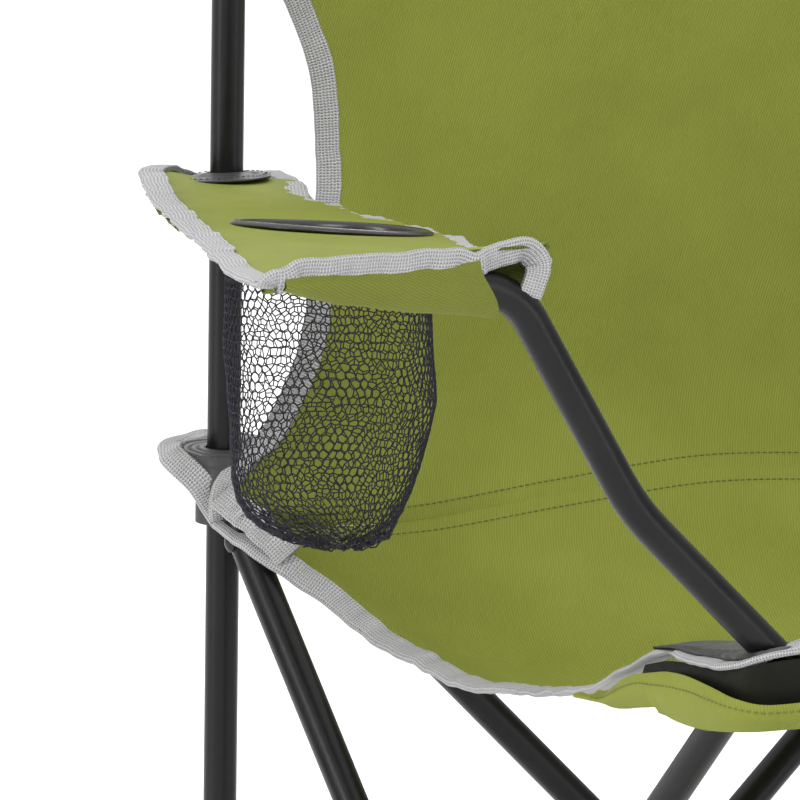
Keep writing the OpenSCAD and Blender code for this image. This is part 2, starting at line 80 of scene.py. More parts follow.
def spline(points, n, closed=False):
    """n points evenly spaced along a smooth curve through the given points."""
    p = np.asarray(points, float)
    m = len(p)
    if closed:
        p = np.vstack([p[-1], p, p[0], p[1]])
        segs = m
    else:
        p = np.vstack([2 * p[0] - p[1], p, 2 * p[-1] - p[-2]])
        segs = m - 1
    out = []
    for i in range(segs):
        a, b, c, d = p[i], p[i + 1], p[i + 2], p[i + 3]
        ab, bc, cd = [max(1e-6, np.linalg.norm(q)) ** 0.5 for q in (b - a, c - b, d - c)]
        t = np.linspace(0, 1, 24, endpoint=False)[:, None]
        m1 = (c - b) + bc * ((b - a) / ab - (c - a) / (ab + bc))
        m2 = (c - b) + bc * ((d - c) / cd - (d - b) / (bc + cd))
        h = (2 * t**3 - 3 * t**2 + 1) * b + (t**3 - 2 * t**2 + t) * m1
        out.append(h + (-2 * t**3 + 3 * t**2) * c + (t**3 - t**2) * m2)
    out.append(p[-3][None] if closed else p[-2][None])
    q = np.vstack(out)
    s = run(q)
    k = np.linspace(0, s[-1], n + 1)[:-1] if closed else np.linspace(0, s[-1], n)
    return np.stack([np.interp(k, s, q[:, j]) for j in range(q.shape[1])], 1)


def noise1(x, seed, octaves=3):
    """Smooth repeatable noise along a line, about -1 to 1."""
    r = np.random.RandomState(seed)
    y = np.zeros_like(x, float)
    for o in range(octaves):
        for _ in range(3):
            y += np.sin(x * (2**o) * r.uniform(0.6, 1.5) + r.uniform(0, 6.28)) * r.uniform(0.3, 1) / 2**o
    return y / 3.2


def noise2(x, y, seed, octaves=3):
    r = np.random.RandomState(seed)
    z = np.zeros_like(x, float)
    for o in range(octaves):
        for _ in range(4):
            a = r.uniform(0, 6.28)
            k = (2**o) * r.uniform(0.6, 1.5)
            wave = np.sin((x * math.cos(a) + y * math.sin(a)) * k + r.uniform(0, 6.28))
            z += wave * r.uniform(0.3, 1) / 2**o
    return z / 3.6


def smooth(a, b, x):
    t = np.clip((x - a) / (b - a), 0, 1)
    return t * t * (3 - 2 * t)


# ---------------------------------------------------------------- materials

class Nodes:
    """A short way to write a material's nodes."""

    def __init__(self, name):
        self.mat = bpy.data.materials.new(name)
        self.mat.use_nodes = True
        self.t = self.mat.node_tree
        self.t.nodes.clear()
        self.out = self.t.nodes.new("ShaderNodeOutputMaterial")
        self.bsdf = self.t.nodes.new("ShaderNodeBsdfPrincipled")
        self.t.links.new(self.bsdf.outputs[0], self.out.inputs[0])

    def put(self, socket, value):
        if isinstance(value, bpy.types.NodeSocket):
            self.t.links.new(value, socket)
        else:
            socket.default_value = value

    def uv(self, scale=1000.0):
        u = self.t.nodes.new("ShaderNodeUVMap")
        u.uv_map = "UVMap"
        return self.vec("SCALE", u.outputs[0], scale=scale)

    def obj(self, scale=1000.0):
        u = self.t.nodes.new("ShaderNodeTexCoord")
        return self.vec("SCALE", u.outputs["Object"], scale=scale)

    def vec(self, op, a, b=None, scale=None):
        n = self.t.nodes.new("ShaderNodeVectorMath")
        n.operation = op
        self.put(n.inputs[0], a)
        if b is not None:
            self.put(n.inputs[1], b)
        if scale is not None:
            n.inputs["Scale"].default_value = scale
        return n.outputs[1] if op in ("DOT_PRODUCT", "LENGTH") else n.outputs[0]

    def m(self, op, a, b=0.0, c=0.0):
        n = self.t.nodes.new("ShaderNodeMath")
        n.operation = op
        self.put(n.inputs[0], a)
        self.put(n.inputs[1], b)
        self.put(n.inputs[2], c)
        return n.outputs[0]

    def noise(self, vector, scale, detail=3.0, rough=0.5):
        n = self.t.nodes.new("ShaderNodeTexNoise")
        self.put(n.inputs["Vector"], vector)
        n.inputs["Scale"].default_value = scale
        n.inputs["Detail"].default_value = detail
        n.inputs["Roughness"].default_value = rough
        return n.outputs[0]

    def ramp(self, fac, stops):
        n = self.t.nodes.new("ShaderNodeValToRGB")
        self.put(n.inputs[0], fac)
        e = n.color_ramp.elements
        while len(e) < len(stops):
            e.new(0.5)
        for el, (pos, col) in zip(e, stops):
            el.position = pos
            el.color = (*col, 1)
        return n.outputs[0]

    def mix(self, fac, a, b):
        n = self.t.nodes.new("ShaderNodeMix")
        n.data_type = "RGBA"
        self.put(n.inputs[0], fac)
        self.put(n.inputs[6], a)
        self.put(n.inputs[7], b)
        return n.outputs[2]

    def bump(self, height, distance, strength=1.0, normal=None):
        n = self.t.nodes.new("ShaderNodeBump")
        n.inputs["Strength"].default_value = strength
        n.inputs["Distance"].default_value = distance
        self.put(n.inputs["Height"], height)
        if normal is not None:
            self.put(n.inputs["Normal"], normal)
        return n.outputs[0]

    def sep(self, vector):
        n = self.t.nodes.new("ShaderNodeSeparateXYZ")
        self.put(n.inputs[0], vector)
        return n.outputs

    def set(self, **kw):
        for k, v in kw.items():
            self.put(self.bsdf.inputs[k.replace("_", " ")], v)
        return self.mat


def rgba(r, g, b):
    return (r, g, b, 1)


def cloth_material(name, base, dark, light):
    """Coated polyester twill: fine diagonal ribs, a weave under them and soft rubbed creases."""
    n = Nodes(name)
    uv = n.uv()
    s = n.sep(uv)
    warp = n.noise(uv, 0.06, 3.0)
    diag = n.m("ADD", n.m("MULTIPLY", s[0], 0.94), n.m("MULTIPLY", s[1], -0.34))
    diag = n.m("ADD", diag, n.m("MULTIPLY", warp, 1.2))
    rib = n.m("SINE", n.m("MULTIPLY", diag, 2 * math.pi / RIB))
    wx = n.m("SINE", n.m("MULTIPLY", s[0], 2 * math.pi / 0.55))
    wy = n.m("SINE", n.m("MULTIPLY", s[1], 2 * math.pi / 0.55))
    weave = n.m("MULTIPLY", wx, wy)
    patchy = n.noise(uv, 0.012, 4.0, 0.55)
    crease = n.noise(uv, 0.035, 5.0, 0.6)
    grain = n.noise(uv, 2.4, 2.0, 0.6)
    col = n.ramp(patchy, [(0.3, dark), (0.5, base), (0.72, light)])
    tone = n.m("ADD", n.m("MULTIPLY", rib, 0.065), n.m("MULTIPLY", weave, 0.05))
    tone = n.m("ADD", tone, n.m("MULTIPLY", n.m("SUBTRACT", grain, 0.5), 0.26))
    col = n.mix(n.m("MAXIMUM", n.m("MULTIPLY", tone, 2.2), 0.0), col, rgba(*[min(1, c * 1.5) for c in light]))
    col = n.mix(n.m("MAXIMUM", n.m("MULTIPLY", tone, -2.6), 0.0), col, rgba(*[c * 0.45 for c in dark]))
    b = n.bump(crease, 0.0022, 0.4)
    b = n.bump(rib, 0.00016, 0.7, b)
    b = n.bump(weave, 0.00008, 0.5, b)
    rough = n.m("ADD", 0.62, n.m("MULTIPLY", grain, 0.16))
    return n.set(Base_Color=col, Roughness=rough, Normal=b, Specular_IOR_Level=0.16)


def binding_material():
    """Woven edging tape: ribs across the tape with two plies, in light grey."""
    n = Nodes("binding_tape")
    uv = n.uv()
    s = n.sep(uv)
    along = n.m("ADD", s[0], n.m("MULTIPLY", n.m("ABSOLUTE", n.m("SINE", n.m("MULTIPLY", s[1], 1.3))), 0.3))
    rib = n.m("SINE", n.m("MULTIPLY", along, 2 * math.pi / RIB))
    row = n.m("SINE", n.m("MULTIPLY", s[1], 2 * math.pi / 1.6))
    weave = n.m("ADD", rib, n.m("MULTIPLY", n.m("MULTIPLY", rib, row), 0.6))
    soft = n.noise(uv, 0.1, 4.0, 0.6)
    fuzz = n.noise(uv, 3.0, 3.0, 0.7)
    col = n.ramp(n.m("ADD", n.m("MULTIPLY", weave, 0.24), n.m("ADD", 0.15, n.m("MULTIPLY", fuzz, 0.7))),
                 [(0.1, (0.20, 0.20, 0.205)), (0.45, (0.44, 0.44, 0.445)), (0.8, (0.58, 0.58, 0.585))])
    col = n.mix(n.m("MULTIPLY", soft, 0.25), col, rgba(0.33, 0.33, 0.34))
    b = n.bump(soft, 0.0009, 0.5)
    b = n.bump(weave, 0.00036, 1.0, b)
    b = n.bump(fuzz, 0.00012, 0.6, b)
    return n.set(Base_Color=col, Roughness=0.82, Normal=b, Sheen_Weight=0.12, Sheen_Roughness=0.5)


def tube_material(name, low, rough):
    """Black powder coat with a faint orange peel."""
    n = Nodes(name)
    p = n.obj()
    peel = n.noise(p, 0.55, 3.0, 0.6)
    fine = n.noise(p, 2.6, 2.0, 0.5)
    scuff = n.noise(p, 0.05, 5.0, 0.7)
    r = n.m("ADD", rough, n.m("MULTIPLY", scuff, 0.14))
    col = n.ramp(scuff, [(0.35, low), (0.75, tuple(c * 1.7 for c in low))])
    b = n.bump(peel, 0.00025, 0.35)
    b = n.bump(fine, 0.00005, 0.4, b)
    return n.set(Base_Color=col, Roughness=r, Normal=b, Specular_IOR_Level=0.22)


def plastic_material(name, base, rough):
    n = Nodes(name)
    p = n.obj()
    spark = n.noise(p, 1.8, 3.0, 0.6)
    cloud = n.noise(p, 0.04, 3.0, 0.6)
    col = n.ramp(cloud, [(0.3, base), (0.8, tuple(c * 1.6 for c in base))])
    b = n.bump(spark, 0.00012, 0.5)
    return n.set(Base_Color=col, Roughness=n.m("ADD", rough, n.m("MULTIPLY", cloud, 0.15)), Normal=b)


def vinyl_material(name, low, high, level):
    n = Nodes(name)
    uv = n.uv()
    leather = n.noise(uv, 0.9, 4.0, 0.6)
    cloud = n.noise(uv, 0.06, 4.0, 0.6)
    col = n.ramp(cloud, [(0.3, low), (0.75, high)])
    b = n.bump(cloud, 0.0012, 0.5)
    b = n.bump(leather, 0.00025, 0.6, b)
    rough = n.m("ADD", 0.42, n.m("MULTIPLY", leather, 0.2))
    return n.set(Base_Color=col, Roughness=rough, Normal=b, Specular_IOR_Level=level)


def thread_material(name, base):
    n = Nodes(name)
    p = n.obj()
    twist = n.noise(p, 3.5, 2.0, 0.6)
    col = n.ramp(twist, [(0.3, tuple(c * 0.7 for c in base)), (0.7, tuple(min(1, c * 1.3) for c in base))])
    return n.set(Base_Color=col, Roughness=0.6, Normal=n.bump(twist, 0.0001, 0.6))


def net_material():
    n = Nodes("net")
    p = n.obj()
    fil = n.noise(p, 3.0, 3.0, 0.6)
    col = n.ramp(fil, [(0.3, (0.010, 0.010, 0.015)), (0.62, (0.022, 0.022, 0.032)),
                       (0.8, (0.09, 0.09, 0.105))])
    return n.set(Base_Color=col, Roughness=0.55, Normal=n.bump(fil, 0.00015, 0.6), Specular_IOR_Level=0.22)


GREEN = cloth_material("cloth", (0.205, 0.229, 0.036), (0.184, 0.206, 0.031), (0.226, 0.252, 0.041))
GREEN_ARM = cloth_material("cloth_armrest",
                           (0.207, 0.232, 0.037), (0.184, 0.206, 0.031), (0.230, 0.257, 0.042))
# painted shade: a darker copy of the armrest green for the hem and gusset, which sit in shadow under the
# armrest's front edge
GREEN_HEM_SHADED = cloth_material("cloth_hem_painted_shade",
                           (0.150, 0.168, 0.027), (0.132, 0.148, 0.023), (0.168, 0.188, 0.031))
TAPE = binding_material()
TUBE = tube_material("powder_coated_tube", (0.0045, 0.0045, 0.005), 0.24)
RIVET = tube_material("rivet", (0.010, 0.010, 0.011), 0.24)
HUB = plastic_material("hub_plastic", (0.016, 0.016, 0.017), 0.42)
PLUG = plastic_material("plug_plastic", (0.014, 0.014, 0.015), 0.45)
RING = plastic_material("ring_plastic", (0.010, 0.010, 0.011), 0.14)
VINYL = vinyl_material("patch_vinyl", (0.030, 0.030, 0.032), (0.060, 0.060, 0.064), 0.45)
# painted shade: a near-black material for the sheet that stands in for the shadow in the gap under each seat
# front corner
SHADE_SHEET_BLACK = vinyl_material("painted_shade_sheet", (0.008, 0.008, 0.006), (0.014, 0.014, 0.010), 0.08)
NET = net_material()
THREAD_GREEN = thread_material("thread_green", (0.10, 0.125, 0.02))
THREAD_DARK = thread_material("thread_dark", (0.028, 0.028, 0.03))

SLOT_OF = {
    "powder_coated_tube": TUBE, "rivet": RIVET, "hub_plastic": HUB, "plug_plastic": PLUG,
    "ring_plastic": RING, "cloth": GREEN, "cloth_armrest": GREEN_ARM, "binding_tape": TAPE,
    "patch_vinyl": VINYL, "net": NET,
}
for sub in frame["record"]["subparts"]:
    node = bpy.data.objects.get(sub["node"])
    if node is not None and node.type == "MESH":
        node.data.materials.clear()
        node.data.materials.append(SLOT_OF[sub["material_slot"]])


# ---------------------------------------------------------------- mesh makers

PIECES = []


def make(name, verts, faces, mat, body, uv=None, normals=None):
    """A mesh in the frame's millimetres, turned into a piece that rides on a body."""
    me = bpy.data.meshes.new(name)
    v = np.asarray(verts, float) * MM
    me.from_pydata(v.tolist(), [], [tuple(int(i) for i in f) for f in faces])
    me.validate(clean_customdata=False)
    if uv is not None:
        layer = me.uv_layers.new(name="UVMap")
        idx = np.empty(len(me.loops), np.int32)
        me.loops.foreach_get("vertex_index", idx)
        layer.data.foreach_set("uv", (np.asarray(uv, float)[idx] * MM).astype(np.float32).ravel())
    me.polygons.foreach_set("use_smooth", [True] * len(me.polygons))
    if normals is not None:
        me.normals_split_custom_set_from_vertices(unit(normals).tolist())
    me.materials.append(mat)
    o = bpy.data.objects.new(name, me)
    bpy.context.scene.collection.objects.link(o)
    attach(o, body)
    PIECES.append(o)
    return o


def grid_normals(p):
    du = np.gradient(p, axis=0)
    dv = np.gradient(p, axis=1)
    return unit(np.cross(du, dv))


def shell(p, uv, thick, keep=None, normals=None):
    """Top and bottom layers of a sheet given as a grid of points, closed along every edge.
    keep is a mask of the grid's cells."""
    n, m = p.shape[:2]
    nn = grid_normals(p) if normals is None else normals
    own = grid_normals(p)
    flip = np.sum(own * nn) < 0
    cells = np.ones((n - 1, m - 1), bool) if keep is None else keep
    top = (p + nn * thick / 2).reshape(-1, 3)
    bot = (p - nn * thick / 2).reshape(-1, 3)
    idx = np.arange(n * m).reshape(n, m)
    faces = []
    edges = {}
    off = n * m
    for i, j in zip(*np.nonzero(cells)):
        a, b, c, d = idx[i, j], idx[i + 1, j], idx[i + 1, j + 1], idx[i, j + 1]
        q = (a, d, c, b) if flip else (a, b, c, d)
        faces.append(q)
        faces.append(tuple(off + k for k in q[::-1]))
        for k in range(4):
            e = (q[k], q[(k + 1) % 4])
            if (e[1], e[0]) in edges:
                del edges[(e[1], e[0])]
            else:
                edges[e] = True
    for a, b in edges:
        faces.append((b, a, off + a, off + b))
    verts = np.vstack([top, bot])
    norms = np.vstack([nn.reshape(-1, 3), -nn.reshape(-1, 3)])
    uvs = np.vstack([uv.reshape(-1, 2), uv.reshape(-1, 2)])
    used = np.zeros(len(verts), bool)
    for f in faces:
        used[list(f)] = True
    new = np.cumsum(used) - 1
    faces = [tuple(new[k] for k in f) for f in faces]
    return verts[used], faces, uvs[used], norms[used]


def sweep(path, side, up, profile, closed=False):
    """Carries a closed profile of (side, up) points along a path."""
    path, side, up = np.asarray(path), np.asarray(side), np.asarray(up)
    prof = np.asarray(profile, float)
    if prof.ndim == 2:
        prof = np.repeat(prof[None], len(path), 0)
    n, k = len(path), prof.shape[1]
    v = path[:, None] + prof[:, :, :1] * side[:, None] + prof[:, :, 1:2] * up[:, None]
    s = run(path)
    w = run(prof[0])
    uv = np.stack(np.meshgrid(s, w, indexing="ij"), 2).reshape(-1, 2)
    v = v.reshape(-1, 3)
    faces = []
    for i in range(n if closed else n - 1):
        a, b = i * k, ((i + 1) % n) * k
        for j in range(k):
            l = (j + 1) % k
            faces.append((a + j, a + l, b + l, b + j))
    if not closed:
        faces.append(tuple(range(k))[::-1])
        faces.append(tuple((n - 1) * k + j for j in range(k)))
    return v, faces, uv


def join(parts):
    """Stacks (verts, faces, uv) parts into one."""
    vs, fs, us, o = [], [], [], 0
    for part in parts:
        v, f, u = part[:3]
        vs.append(v)
        us.append(u)
        fs += [tuple(int(i) + o for i in q) for q in f]
        o += len(v)
    return np.vstack(vs), fs, np.vstack(us)


def tangents(path, closed=False):
    if closed:
        return unit(np.roll(path, -1, 0) - np.roll(path, 1, 0))
    return unit(np.gradient(path, axis=0))


def tape(path, up, width=10.5, thick=2.6, closed=False, seed=1, wobble=0.6, out=1.0, inward=1):
    """Edge binding folded over the cloth's edge. path is the cloth's edge and up the cloth's normal along it.
    The tape reaches width inward and out beyond the edge. inward is +1 when tangent x up points inward."""
    path = np.asarray(path, float)
    t = tangents(path, closed)
    up = unit(up - t * np.sum(up * t, 1, keepdims=True))
    side = np.cross(t, up) * inward
    s = run(path)
    h = thick / 2
    base = np.array([
        [width, 0.55 * h], [width - 0.5, 0.95 * h], [width - 2, 0.9 * h], [width * 0.55, 1.08 * h],
        [2.2, 1.05 * h], [0.6, 1.0 * h], [-0.5 * out, 0.78 * h], [-out, 0.0], [-0.5 * out, -0.78 * h],
        [0.6, -1.0 * h], [2.2, -1.05 * h], [width * 0.55, -1.08 * h], [width - 2, -0.9 * h],
        [width - 0.5, -0.95 * h], [width, -0.55 * h],
    ])
    n = len(path)
    prof = np.repeat(base[None], n, 0).copy()
    if wobble:
        fade = np.ones(n)
        if closed:
            fade = np.clip(np.minimum(s, s[-1] - s) / 25, 0, 1)
        a = noise1(s / 9.0, seed) * wobble * fade
        b = noise1(s / 14.0, seed + 5) * wobble * fade
        prof[:, :, 0] += (prof[:, :, 0] / width) * (a * 0.9)[:, None]
        prof[:, :, 1] += ((prof[:, :, 0] / width) * (b * 0.9)[:, None]) + (a * 0.35)[:, None]
        prof[:, :, 1] *= 1 + 0.12 * noise1(s / 5.0, seed + 9)[:, None] * fade[:, None]
    return sweep(path, side, up, prof, closed)


def stitches(path, up, pitch=3.4, length=2.5, r=0.32, lift=0.15, closed=False):
    """A row of lockstitches, each a little bead sunk at both ends."""
    path = np.asarray(path, float)
    if closed:
        path = np.vstack([path, path[:1]])
        up = np.vstack([up, up[:1]])
    s = run(path)
    count = int(s[-1] / pitch)
    parts = []
    ring = [(math.cos(a), math.sin(a)) for a in np.linspace(0, 2 * math.pi, 6, endpoint=False)]
    stations = [(-0.5, 0.25, -0.5), (-0.36, 0.85, 0.25), (0.0, 1.0, 0.6),
                (0.36, 0.85, 0.25), (0.5, 0.25, -0.5)]
    for c in range(count):
        mid = (c + 0.5) * pitch
        pts = []
        q = np.array([np.interp(mid + k * length, s, path[:, j])
                      for k in (-0.5, 0, 0.5) for j in range(3)]).reshape(3, 3)
        t = unit(q[2] - q[0])
        u = np.array([np.interp(mid, s, up[:, j]) for j in range(3)])
        u = unit(u - t * np.dot(u, t))
        w = np.cross(t, u)
        for k, rad, lf in stations:
            centre = q[1] + (q[2] - q[0]) * k + u * (lift + r * lf)
            for x, y in ring:
                pts.append(centre + (w * x + u * y * 0.8) * r * rad)
        faces = []
        for a in range(4):
            for b in range(6):
                faces.append((a * 6 + b, a * 6 + (b + 1) % 6, (a + 1) * 6 + (b + 1) % 6, (a + 1) * 6 + b))
        faces.append(tuple(range(6))[::-1])
        faces.append(tuple(range(24, 30)))
        parts.append((np.array(pts), faces, np.zeros((30, 2))))
    return join(parts)


def mirror_x(p):
    q = np.array(p, float)
    q[..., 0] *= -1
    return q


def handed(s, grid, uv):
    """A right-hand grid and its UVs, mirrored where s says left, with the same side facing out."""
    return (mirror_x(grid)[:, ::-1], uv[:, ::-1]) if s > 0 else (grid, uv)


# ---------------------------------------------------------------- the cloth's own lines, in millimetres

HALF = 238.0            # half the spacing of the corners
REST_TILT = math.radians(5.9)
REST_Z = 583.0          # armrest at the back post
CUP = (-321.5, -14.0)   # cup ring centre in the armrest's plan
ROLL = 5.5              # how far the armrest's outer edge stands over its middle, and the inner edge under it
ARM_Z = 623.0           # the arm tube's axis at its second bend
CLOTH = 1.3             # cloth thickness
TUBE_R = 7.5
TAB_Z = 457.6           # rear corner tab where it is level round the post

# Rear corner tab round the right post, and on down the seat's right edge to its front corner
TAB_EDGE = [
    (-204, 256, 458.5), (-212, 268, 459), (-228, 277, 460), (-242, 271, 460), (-252, 266, 460),
    (-261, 256, 459.5), (-267, 244, 459), (-270, 236, 457), (-268, 231, 453), (-263, 226, 447),
    (-258, 220, 437), (-257, 213, 431.7),
]
SEAT_SIDE = [
    (-257, 213, 431.7), (-255, 200, 427.5), (-251, 187, 422.5), (-243, 177, 416), (-236, 171, 410),
    (-229, 163, 404), (-222, 147, 395), (-218, 122, 388.5), (-217, 98, 387), (-216, 72, 383.5),
    (-217, 28, 387.5), (-222, -25, 397), (-229, -81, 410), (-235, -117, 425), (-243, -165, 443),
    (-250, -187, 448), (-256, -215, 449.5), (-256.5, -236, 451.5), (-253, -251, 455.5),
    (-246, -258, 459),
]
SEAT_FRONT = [(-246, -258, 459), (-229, -260, 460.5), (-150, -262, 458), (0, -263, 455)]
SEAM = [
    (-257, 213, 433), (-244, 209, 434.5), (-215, 212, 428), (-157, 216, 423.8), (-77, 217.5, 429.5),
    (0, 218, 434.5),
]
PANEL_SIDE = [
    (-257, 213, 433), (-259, 210.5, 439), (-256.5, 214, 444.5), (-252, 218, 450), (-244, 222.5, 455.4),
    (-233, 228, 459.5), (-224, 232, 464.5), (-216, 236, 472), (-207, 238.5, 485), (-198, 240, 504),
    (-191, 242, 540), (-188, 244.5, 585), (-191, 246.5, 627), (-199, 247, 650), (-212, 246, 673),
    (-225, 243, 692),
]
SEAT_MID = [
    (-263, 455), (-235, 450), (-165, 434), (-117, 418), (-81, 404), (-25, 389), (28, 381), (75, 378),
    (108, 382), (147, 391), (180, 404), (206, 420), (218, 434.5),
]
BACK_MID = [(218, 434.5), (230, 452), (240, 478), (248, 560), (250, 640), (247, 720), (238, 806)]


def mirrored(points):
    """A right-hand curve that ends at x = 0, carried on to the left."""
    p = np.asarray(points, float)
    q = p[::-1][1:] * [-1, 1, 1]
    return np.vstack([p, q])


def coons(right, left, front, back, u, v):
    """A sheet between four edges. u runs right to left, v front to back."""
    n, m = len(v), len(u)
    R, L = right[:, None], left[:, None]
    F, B = front[None], back[None]
    U, V = u[None, :, None], v[:, None, None]
    ruled = (1 - U) * R + U * L + (1 - V) * F + V * B
    corner = ((1 - U) * (1 - V) * front[0] + U * (1 - V) * front[-1]
              + (1 - U) * V * back[0] + U * V * back[-1])
    return ruled - corner


def arc_uv(p):
    """UVs in millimetres from a grid's own spacing."""
    du = np.linalg.norm(np.diff(p, axis=1), axis=2)
    dv = np.linalg.norm(np.diff(p, axis=0), axis=2)
    u = np.concatenate([np.zeros((p.shape[0], 1)), np.cumsum(du, 1)], 1)
    u -= u[:, [p.shape[1] // 2]]
    v = np.cumsum(np.r_[0, dv.mean(1)])[:, None] * np.ones((1, p.shape[1]))
    return np.stack([u, v], 2)


# ---------------------------------------------------------------- seat

def seat_sheet():
    rows, cols = 150, 150
    side = spline(SEAT_SIDE, rows)[::-1]
    other = mirror_x(side)
    front = spline(mirrored(SEAT_FRONT), cols)
    back = spline(mirrored(SEAM), cols)
    other[:, 2] += noise1(np.linspace(0, 14, rows), 31) * 1.0 * np.sin(np.linspace(0, math.pi, rows))
    u, v = np.linspace(0, 1, cols), np.linspace(0, 1, rows)
    p = coons(side, other, front, back, u, v)
    mid = spline([(0, y, z) for y, z in SEAT_MID], rows)
    a = 1 - np.abs(2 * u - 1) ** 2.4
    here = p[:, cols // 2]
    p[:, :, 1] += (mid[:, 1] - here[:, 1])[:, None] * a
    p[:, :, 2] += (mid[:, 2] - here[:, 2])[:, None] * a
    x, y = p[:, :, 0], p[:, :, 1]
    inner = np.clip(np.minimum(np.minimum(u, 1 - u)[None] * 9, np.minimum(v, 1 - v)[:, None] * 9), 0, 1)
    p[:, :, 2] += noise2(x / 55, y / 55, 11) * 1.6 * inner
    edge = np.exp(-np.minimum(u, 1 - u)[None] / 0.035) * np.sin(v * math.pi)[:, None]
    p[:, :, 2] += edge * noise1(v * 60, 17)[:, None] * 1.6
    corner_pull = np.exp(-(((np.abs(x) - 240) / 60) ** 2 + ((y - 200) / 55) ** 2))
    p[:, :, 2] += corner_pull * np.sin((y + np.abs(x) * 0.7) / 5.0) * 1.1 * inner
    front_pull = np.exp(-(((np.abs(x) - 232) / 50) ** 2 + ((y + 225) / 45) ** 2))
    p[:, :, 2] += front_pull * np.sin((y - np.abs(x) * 0.9) / 6.0) * 0.8 * inner
    return p


SEAT = seat_sheet()
SEAT_UV = arc_uv(SEAT)
SEAT_N = grid_normals(SEAT)
if SEAT_N[:, :, 2].mean() < 0:
    SEAT_N = -SEAT_N
CREASE = int(np.argmin(np.abs(SEAT[:, SEAT.shape[1] // 2, 1])))
SIDES = ((-1, "right", -246.0), (1, "left", -230.0))   # sign of x, name, y of the arm tube's plane


def tube_at(z, s, y0):
    """Where the arm tube's centreline passes height z above a front hub."""
    piv, rise = HALF - 36, 395.0
    return s * (piv + (z - 425.0) * 2 * piv / rise), y0


def seat_half(name, body, rows):
    p, n, uv = SEAT[rows].copy(), SEAT_N[rows], SEAT_UV[rows]
    c = (p[:-1, :-1] + p[1:, :-1] + p[:-1, 1:] + p[1:, 1:]) / 4
    keep = np.ones(c.shape[:2], bool)
    for s, _, y0 in SIDES:
        hx, hy = tube_at(457, s, y0)
        keep &= np.hypot((c[:, :, 0] - hx) / 13, (c[:, :, 1] - hy) / 10) > 1
    v, f, w, nn = shell(p, uv, CLOTH, keep, normals=n)
    o = make(name, v, f, GREEN, body, w, nn)
    return o


seat_rear = seat_half("seat_cloth_rear", "seat_rear", slice(CREASE, None))
seat_front = seat_half("seat_cloth_front", "seat_front", slice(0, CREASE + 1))
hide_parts("seat_rear")
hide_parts("seat_front")


# ---------------------------------------------------------------- backrest

def back_sheet():
    rows, cols = 170, 130
    side = spline(PANEL_SIDE + [(-227, 240, 720), (-227, 238.5, 770), (-227, 238, 808)], rows)
    other = mirror_x(side)
    bottom = spline(mirrored(SEAM), cols)
    top = spline(mirrored([(-227, 238, 808), (-120, 240, 806), (0, 241, 804)]), cols)
    u, v = np.linspace(0, 1, cols), np.linspace(0, 1, rows)
    p = coons(side, other, bottom, top, u, v)
    mid = spline([(0, y, z) for y, z in BACK_MID], rows)
    a = 1 - np.abs(2 * u - 1) ** 2.2
    here = p[:, cols // 2]
    p[:, :, 1] += (mid[:, 1] - here[:, 1])[:, None] * a
    p[:, :, 2] += (mid[:, 2] - here[:, 2])[:, None] * a
    x, z = p[:, :, 0], p[:, :, 2]
    inner = np.clip(np.minimum(np.minimum(u, 1 - u)[None] * 9, np.minimum(v, 1 - v)[:, None] * 9), 0, 1)
    p[:, :, 1] += noise2(x / 70, z / 90, 23) * 2.2 * inner
    pull = np.exp(-(((np.abs(x) - 235) / 55) ** 2 + ((z - 455) / 30) ** 2))
    p[:, :, 1] += pull * np.sin((z * 0.8 + np.abs(x) * 0.6) / 4.0) * 0.9 * inner
    diag = np.exp(-(((np.abs(x) - 200) / 40) ** 2 + ((z - 690) / 50) ** 2))
    p[:, :, 1] += diag * np.sin((z + np.abs(x) * 0.8) / 7.0) * 1.0 * inner
    knob = np.exp(-(((x + 209) / 13) ** 2 + ((z - 440) / 11) ** 2))
    p[:, :, 1] -= 7 * knob * np.clip(v * 60, 0, 1)[:, None]
    return p


BACK = back_sheet()
BACK_UV = arc_uv(BACK)
BACK_N = grid_normals(BACK)
if BACK_N[:, :, 1].mean() > 0:
    BACK_N = -BACK_N
v_, f_, w_, n_ = shell(BACK, BACK_UV, CLOTH, normals=BACK_N)
backrest = make("backrest_cloth", v_, f_, GREEN, "frame_base", w_, n_)
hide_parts("backrest")


# ---------------------------------------------------------------- edge bindings

def edge_frame(n, k):
    """Up directions for a tape along a grid's edge, smoothed."""
    pad = np.vstack([np.repeat(n[:1], k, 0), n, np.repeat(n[-1:], k, 0)])
    return unit(sum(pad[i:i + len(n)] for i in range(2 * k + 1)))


def put_tape(name, path, up, body, seed, inward=1, width=10.5, thick=2.8, closed=False, wobble=0.6):
    v, f, w = tape(path, up, width, thick, closed, seed, wobble, inward=inward)
    return make(name, v, f, TAPE, body, w)


def towards(path, up, target):
    """+1 or -1, so that the tape reaches towards a point."""
    t = tangents(path)
    side = np.cross(t, up)
    return 1 if np.sum(side * (np.asarray(target) - path)) > 0 else -1


def wavy(path, up, amp, seed, pitch=30.0):
    """The edge's own waves, across the cloth and up and down."""
    s = run(path)
    fade = np.clip(np.minimum(s, s[-1] - s) / 20, 0, 1)[:, None]
    side = np.cross(tangents(path), up)
    return (path + side * (noise1(s / pitch * 3, seed)[:, None] * amp * fade)
            + up * (noise1(s / pitch * 4, seed + 3)[:, None] * amp * 0.6 * fade))


def resample(path, up, step=1.5):
    k = max(3, int(round(np.linalg.norm(np.diff(path, axis=0), axis=1).sum() / step)))
    a, b = np.linspace(0, 1, len(path)), np.linspace(0, 1, k)
    q = np.stack([np.interp(b, a, path[:, j]) for j in range(3)], 1)
    w = np.stack([np.interp(b, a, up[:, j]) for j in range(3)], 1)
    return q, unit(w)


